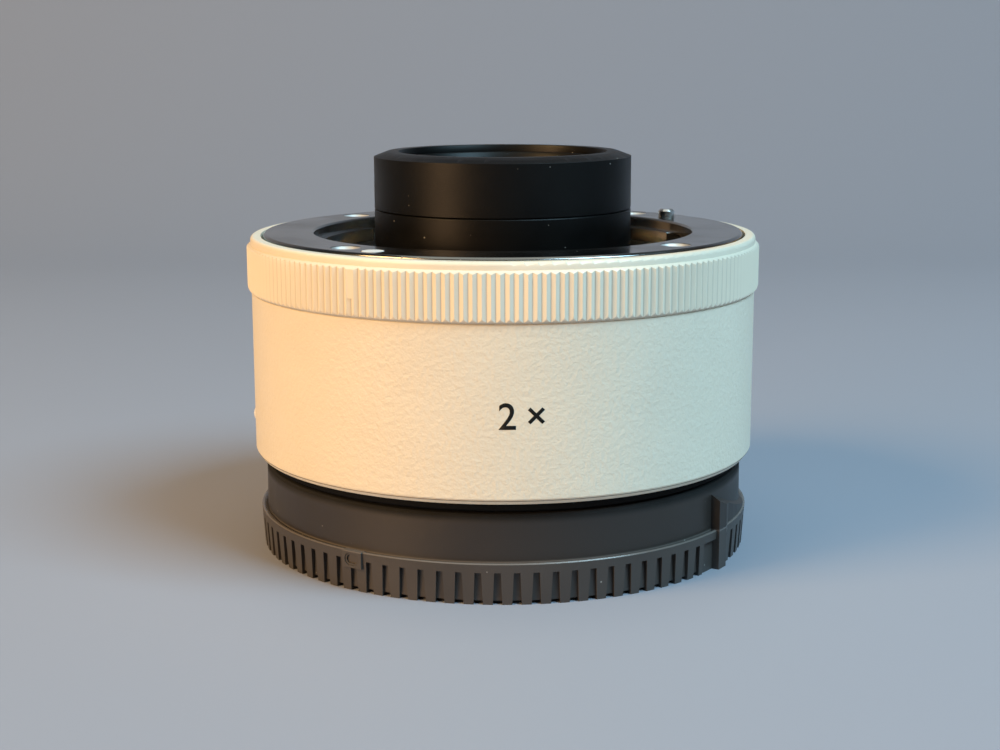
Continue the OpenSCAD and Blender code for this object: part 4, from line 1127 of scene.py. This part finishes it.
@dataclass(frozen=True)
class Lamp:
    """One large soft lamp that points at the object."""

    name: str
    side: Side
    place: Tuple[float, float, float]
    size: Tuple[float, float]
    power: float
    colour: Colour

    def build(self, aim: Vector) -> None:
        """Adds the lamp.

        Args:
            aim: The point that it shines at.
        """
        data = bpy.data.lights.new(self.name, "AREA")
        data.shape = "RECTANGLE"
        data.size, data.size_y = self.size
        data.energy = self.power
        data.color = self.colour
        lamp = bpy.data.objects.new(self.name, data)
        bpy.context.scene.collection.objects.link(lamp)
        lamp.location = self.place
        lamp.rotation_euler = (aim - Vector(self.place)).to_track_quat("-Z", "Y").to_euler()
        LOG.info("%s: %s", self.name, self.side.name.lower())


LAMPS = (
    Lamp("left_lamp", Side.LEFT, (-0.543, -0.289, 0.504), (0.28, 0.28), 4.1, (1.0, 0.63, 0.27)),
    Lamp("low_lamp", Side.LEFT, (-0.605, -0.473, 0.159), (0.36, 0.25), 3.5, (1.0, 0.60, 0.30)),
    Lamp("high_lamp", Side.ABOVE, (0.0, -0.10, 0.85), (0.80, 0.80), 1.4, (0.95, 1.0, 0.92)),
    Lamp("right_lamp", Side.RIGHT, (0.419, -0.294, 0.613), (0.40, 0.40), 7.4, (0.48, 0.80, 1.0)),
)


@dataclass
class Studio:
    """Pale floor that sweeps up to a backdrop, soft lamps and the camera."""

    floor_colour: Colour = (0.315, 0.33, 0.385)
    floor_roughness: float = 0.6
    floor_specular: float = 0.3
    floor_width: float = 3.0
    floor_near: float = -1.2
    floor_far: float = 0.62
    sweep_height: float = 1.2
    sweep_radius: float = 0.35
    sweep_steps: int = 24
    near_enough: float = 1e-4
    air_colour: Colour = (0.95, 0.98, 0.92)
    air_strength: float = 0.055
    lamps: Tuple[Lamp, ...] = LAMPS
    aim: Tuple[float, float, float] = (0.0, 0.0, 0.024)
    lens_px: float = 1675.0
    frame_width_px: float = 1000.0
    sensor_mm: float = 36.0
    clip_near: float = 0.005
    camera_place: Tuple[float, float, float] = (0.0, -0.2055, 0.0598)
    pitch_deg: float = 10.99
    yaw_deg: float = -0.108
    roll_deg: float = -0.160

    def build(self) -> None:
        """Builds the floor, the world, the lamps and the camera."""
        self.build_floor()
        self.build_world()
        for lamp in self.lamps:
            lamp.build(Vector(self.aim))
        self.build_camera()

    def build_floor(self) -> None:
        """Models the floor and its sweep from one plane."""
        bpy.ops.object.select_all(action="DESELECT")
        bpy.ops.mesh.primitive_plane_add(size=1.0, location=(0, 0, 0))
        floor = bpy.context.object
        floor.name = "floor_sweep"
        floor.scale = (self.floor_width, self.floor_far - self.floor_near, 1.0)
        floor.location = (0, (self.floor_far + self.floor_near) / 2, 0)
        bpy.ops.object.transform_apply(location=True, rotation=True, scale=True)
        self.select_far_edge(floor)
        bpy.ops.mesh.extrude_region_move(
            TRANSFORM_OT_translate={"value": (0, 0, self.sweep_height)}
        )
        self.select_far_edge(floor)
        bpy.ops.mesh.bevel(offset=self.sweep_radius, segments=self.sweep_steps, affect="EDGES")
        bpy.ops.object.mode_set(mode="OBJECT")
        bpy.ops.object.shade_smooth()
        floor.data.materials.append(self.floor_material())
        LOG.info("floor_sweep: stage")

    def select_far_edge(self, floor: bpy.types.Object) -> None:
        """Selects the floor's far edge and leaves it in edit mode.

        Args:
            floor: The floor, which is the active object.
        """
        bpy.ops.object.mode_set(mode="EDIT")
        bpy.ops.mesh.select_mode(type="EDGE")
        bpy.ops.mesh.select_all(action="DESELECT")
        bpy.ops.object.mode_set(mode="OBJECT")
        for edge in floor.data.edges:
            ends = [floor.data.vertices[index].co for index in edge.vertices]
            far = min(end.y for end in ends) > self.floor_far - self.near_enough
            edge.select = far and max(abs(end.z) for end in ends) < self.near_enough
        bpy.ops.object.mode_set(mode="EDIT")

    def floor_material(self) -> bpy.types.Material:
        """Makes the plain pale material of the floor and backdrop.

        Returns:
            The material.
        """
        made = bpy.data.materials.new("pale_floor")
        made.use_nodes = True
        shader = made.node_tree.nodes["Principled BSDF"]
        shader.inputs["Base Color"].default_value = (*self.floor_colour, 1.0)
        shader.inputs["Roughness"].default_value = self.floor_roughness
        shader.inputs["Specular IOR Level"].default_value = self.floor_specular
        return made

    def build_world(self) -> None:
        """Sets a faint even light from all round."""
        world = bpy.data.worlds.new("studio_air")
        world.use_nodes = True
        back = world.node_tree.nodes["Background"]
        back.inputs["Color"].default_value = (*self.air_colour, 1.0)
        back.inputs["Strength"].default_value = self.air_strength
        bpy.context.scene.world = world

    def build_camera(self) -> None:
        """Sets the camera that was fitted to the photograph's round edges."""
        angles = (self.pitch_deg, self.yaw_deg, self.roll_deg)
        pitch, yaw, roll = (math.radians(angle) for angle in angles)
        level = math.cos(pitch)
        ahead = Vector((math.sin(yaw) * level, math.cos(yaw) * level, -math.sin(pitch)))
        right = Vector((math.cos(yaw), -math.sin(yaw), 0.0))
        up = right.cross(ahead)
        turned = math.cos(roll) * right + math.sin(roll) * up
        above = -math.sin(roll) * right + math.cos(roll) * up
        data = bpy.data.cameras.new("photo_camera")
        data.sensor_fit = "HORIZONTAL"
        data.sensor_width = self.sensor_mm
        data.lens = self.lens_px * data.sensor_width / self.frame_width_px
        data.clip_start = self.clip_near
        camera = bpy.data.objects.new("photo_camera", data)
        bpy.context.scene.collection.objects.link(camera)
        camera.matrix_world = Matrix(
            (
                (turned.x, above.x, -ahead.x, self.camera_place[0]),
                (turned.y, above.y, -ahead.y, self.camera_place[1]),
                (turned.z, above.z, -ahead.z, self.camera_place[2]),
                (0.0, 0.0, 0.0, 1.0),
            )
        )
        bpy.context.scene.camera = camera


def main() -> None:
    """Builds every sub-assembly in order, then the studio."""
    logging.basicConfig(level=logging.INFO, format="%(name)s: %(message)s")
    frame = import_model()
    for assembly in (RearCap, RearMount, Inside, Barrel, FactorMark, FrontMount, LensTube):
        assembly(frame["nodes"]).build()
    Studio().build()
    bpy.context.scene.view_settings.view_transform = "Standard"


if __name__ == "__main__":
    main()
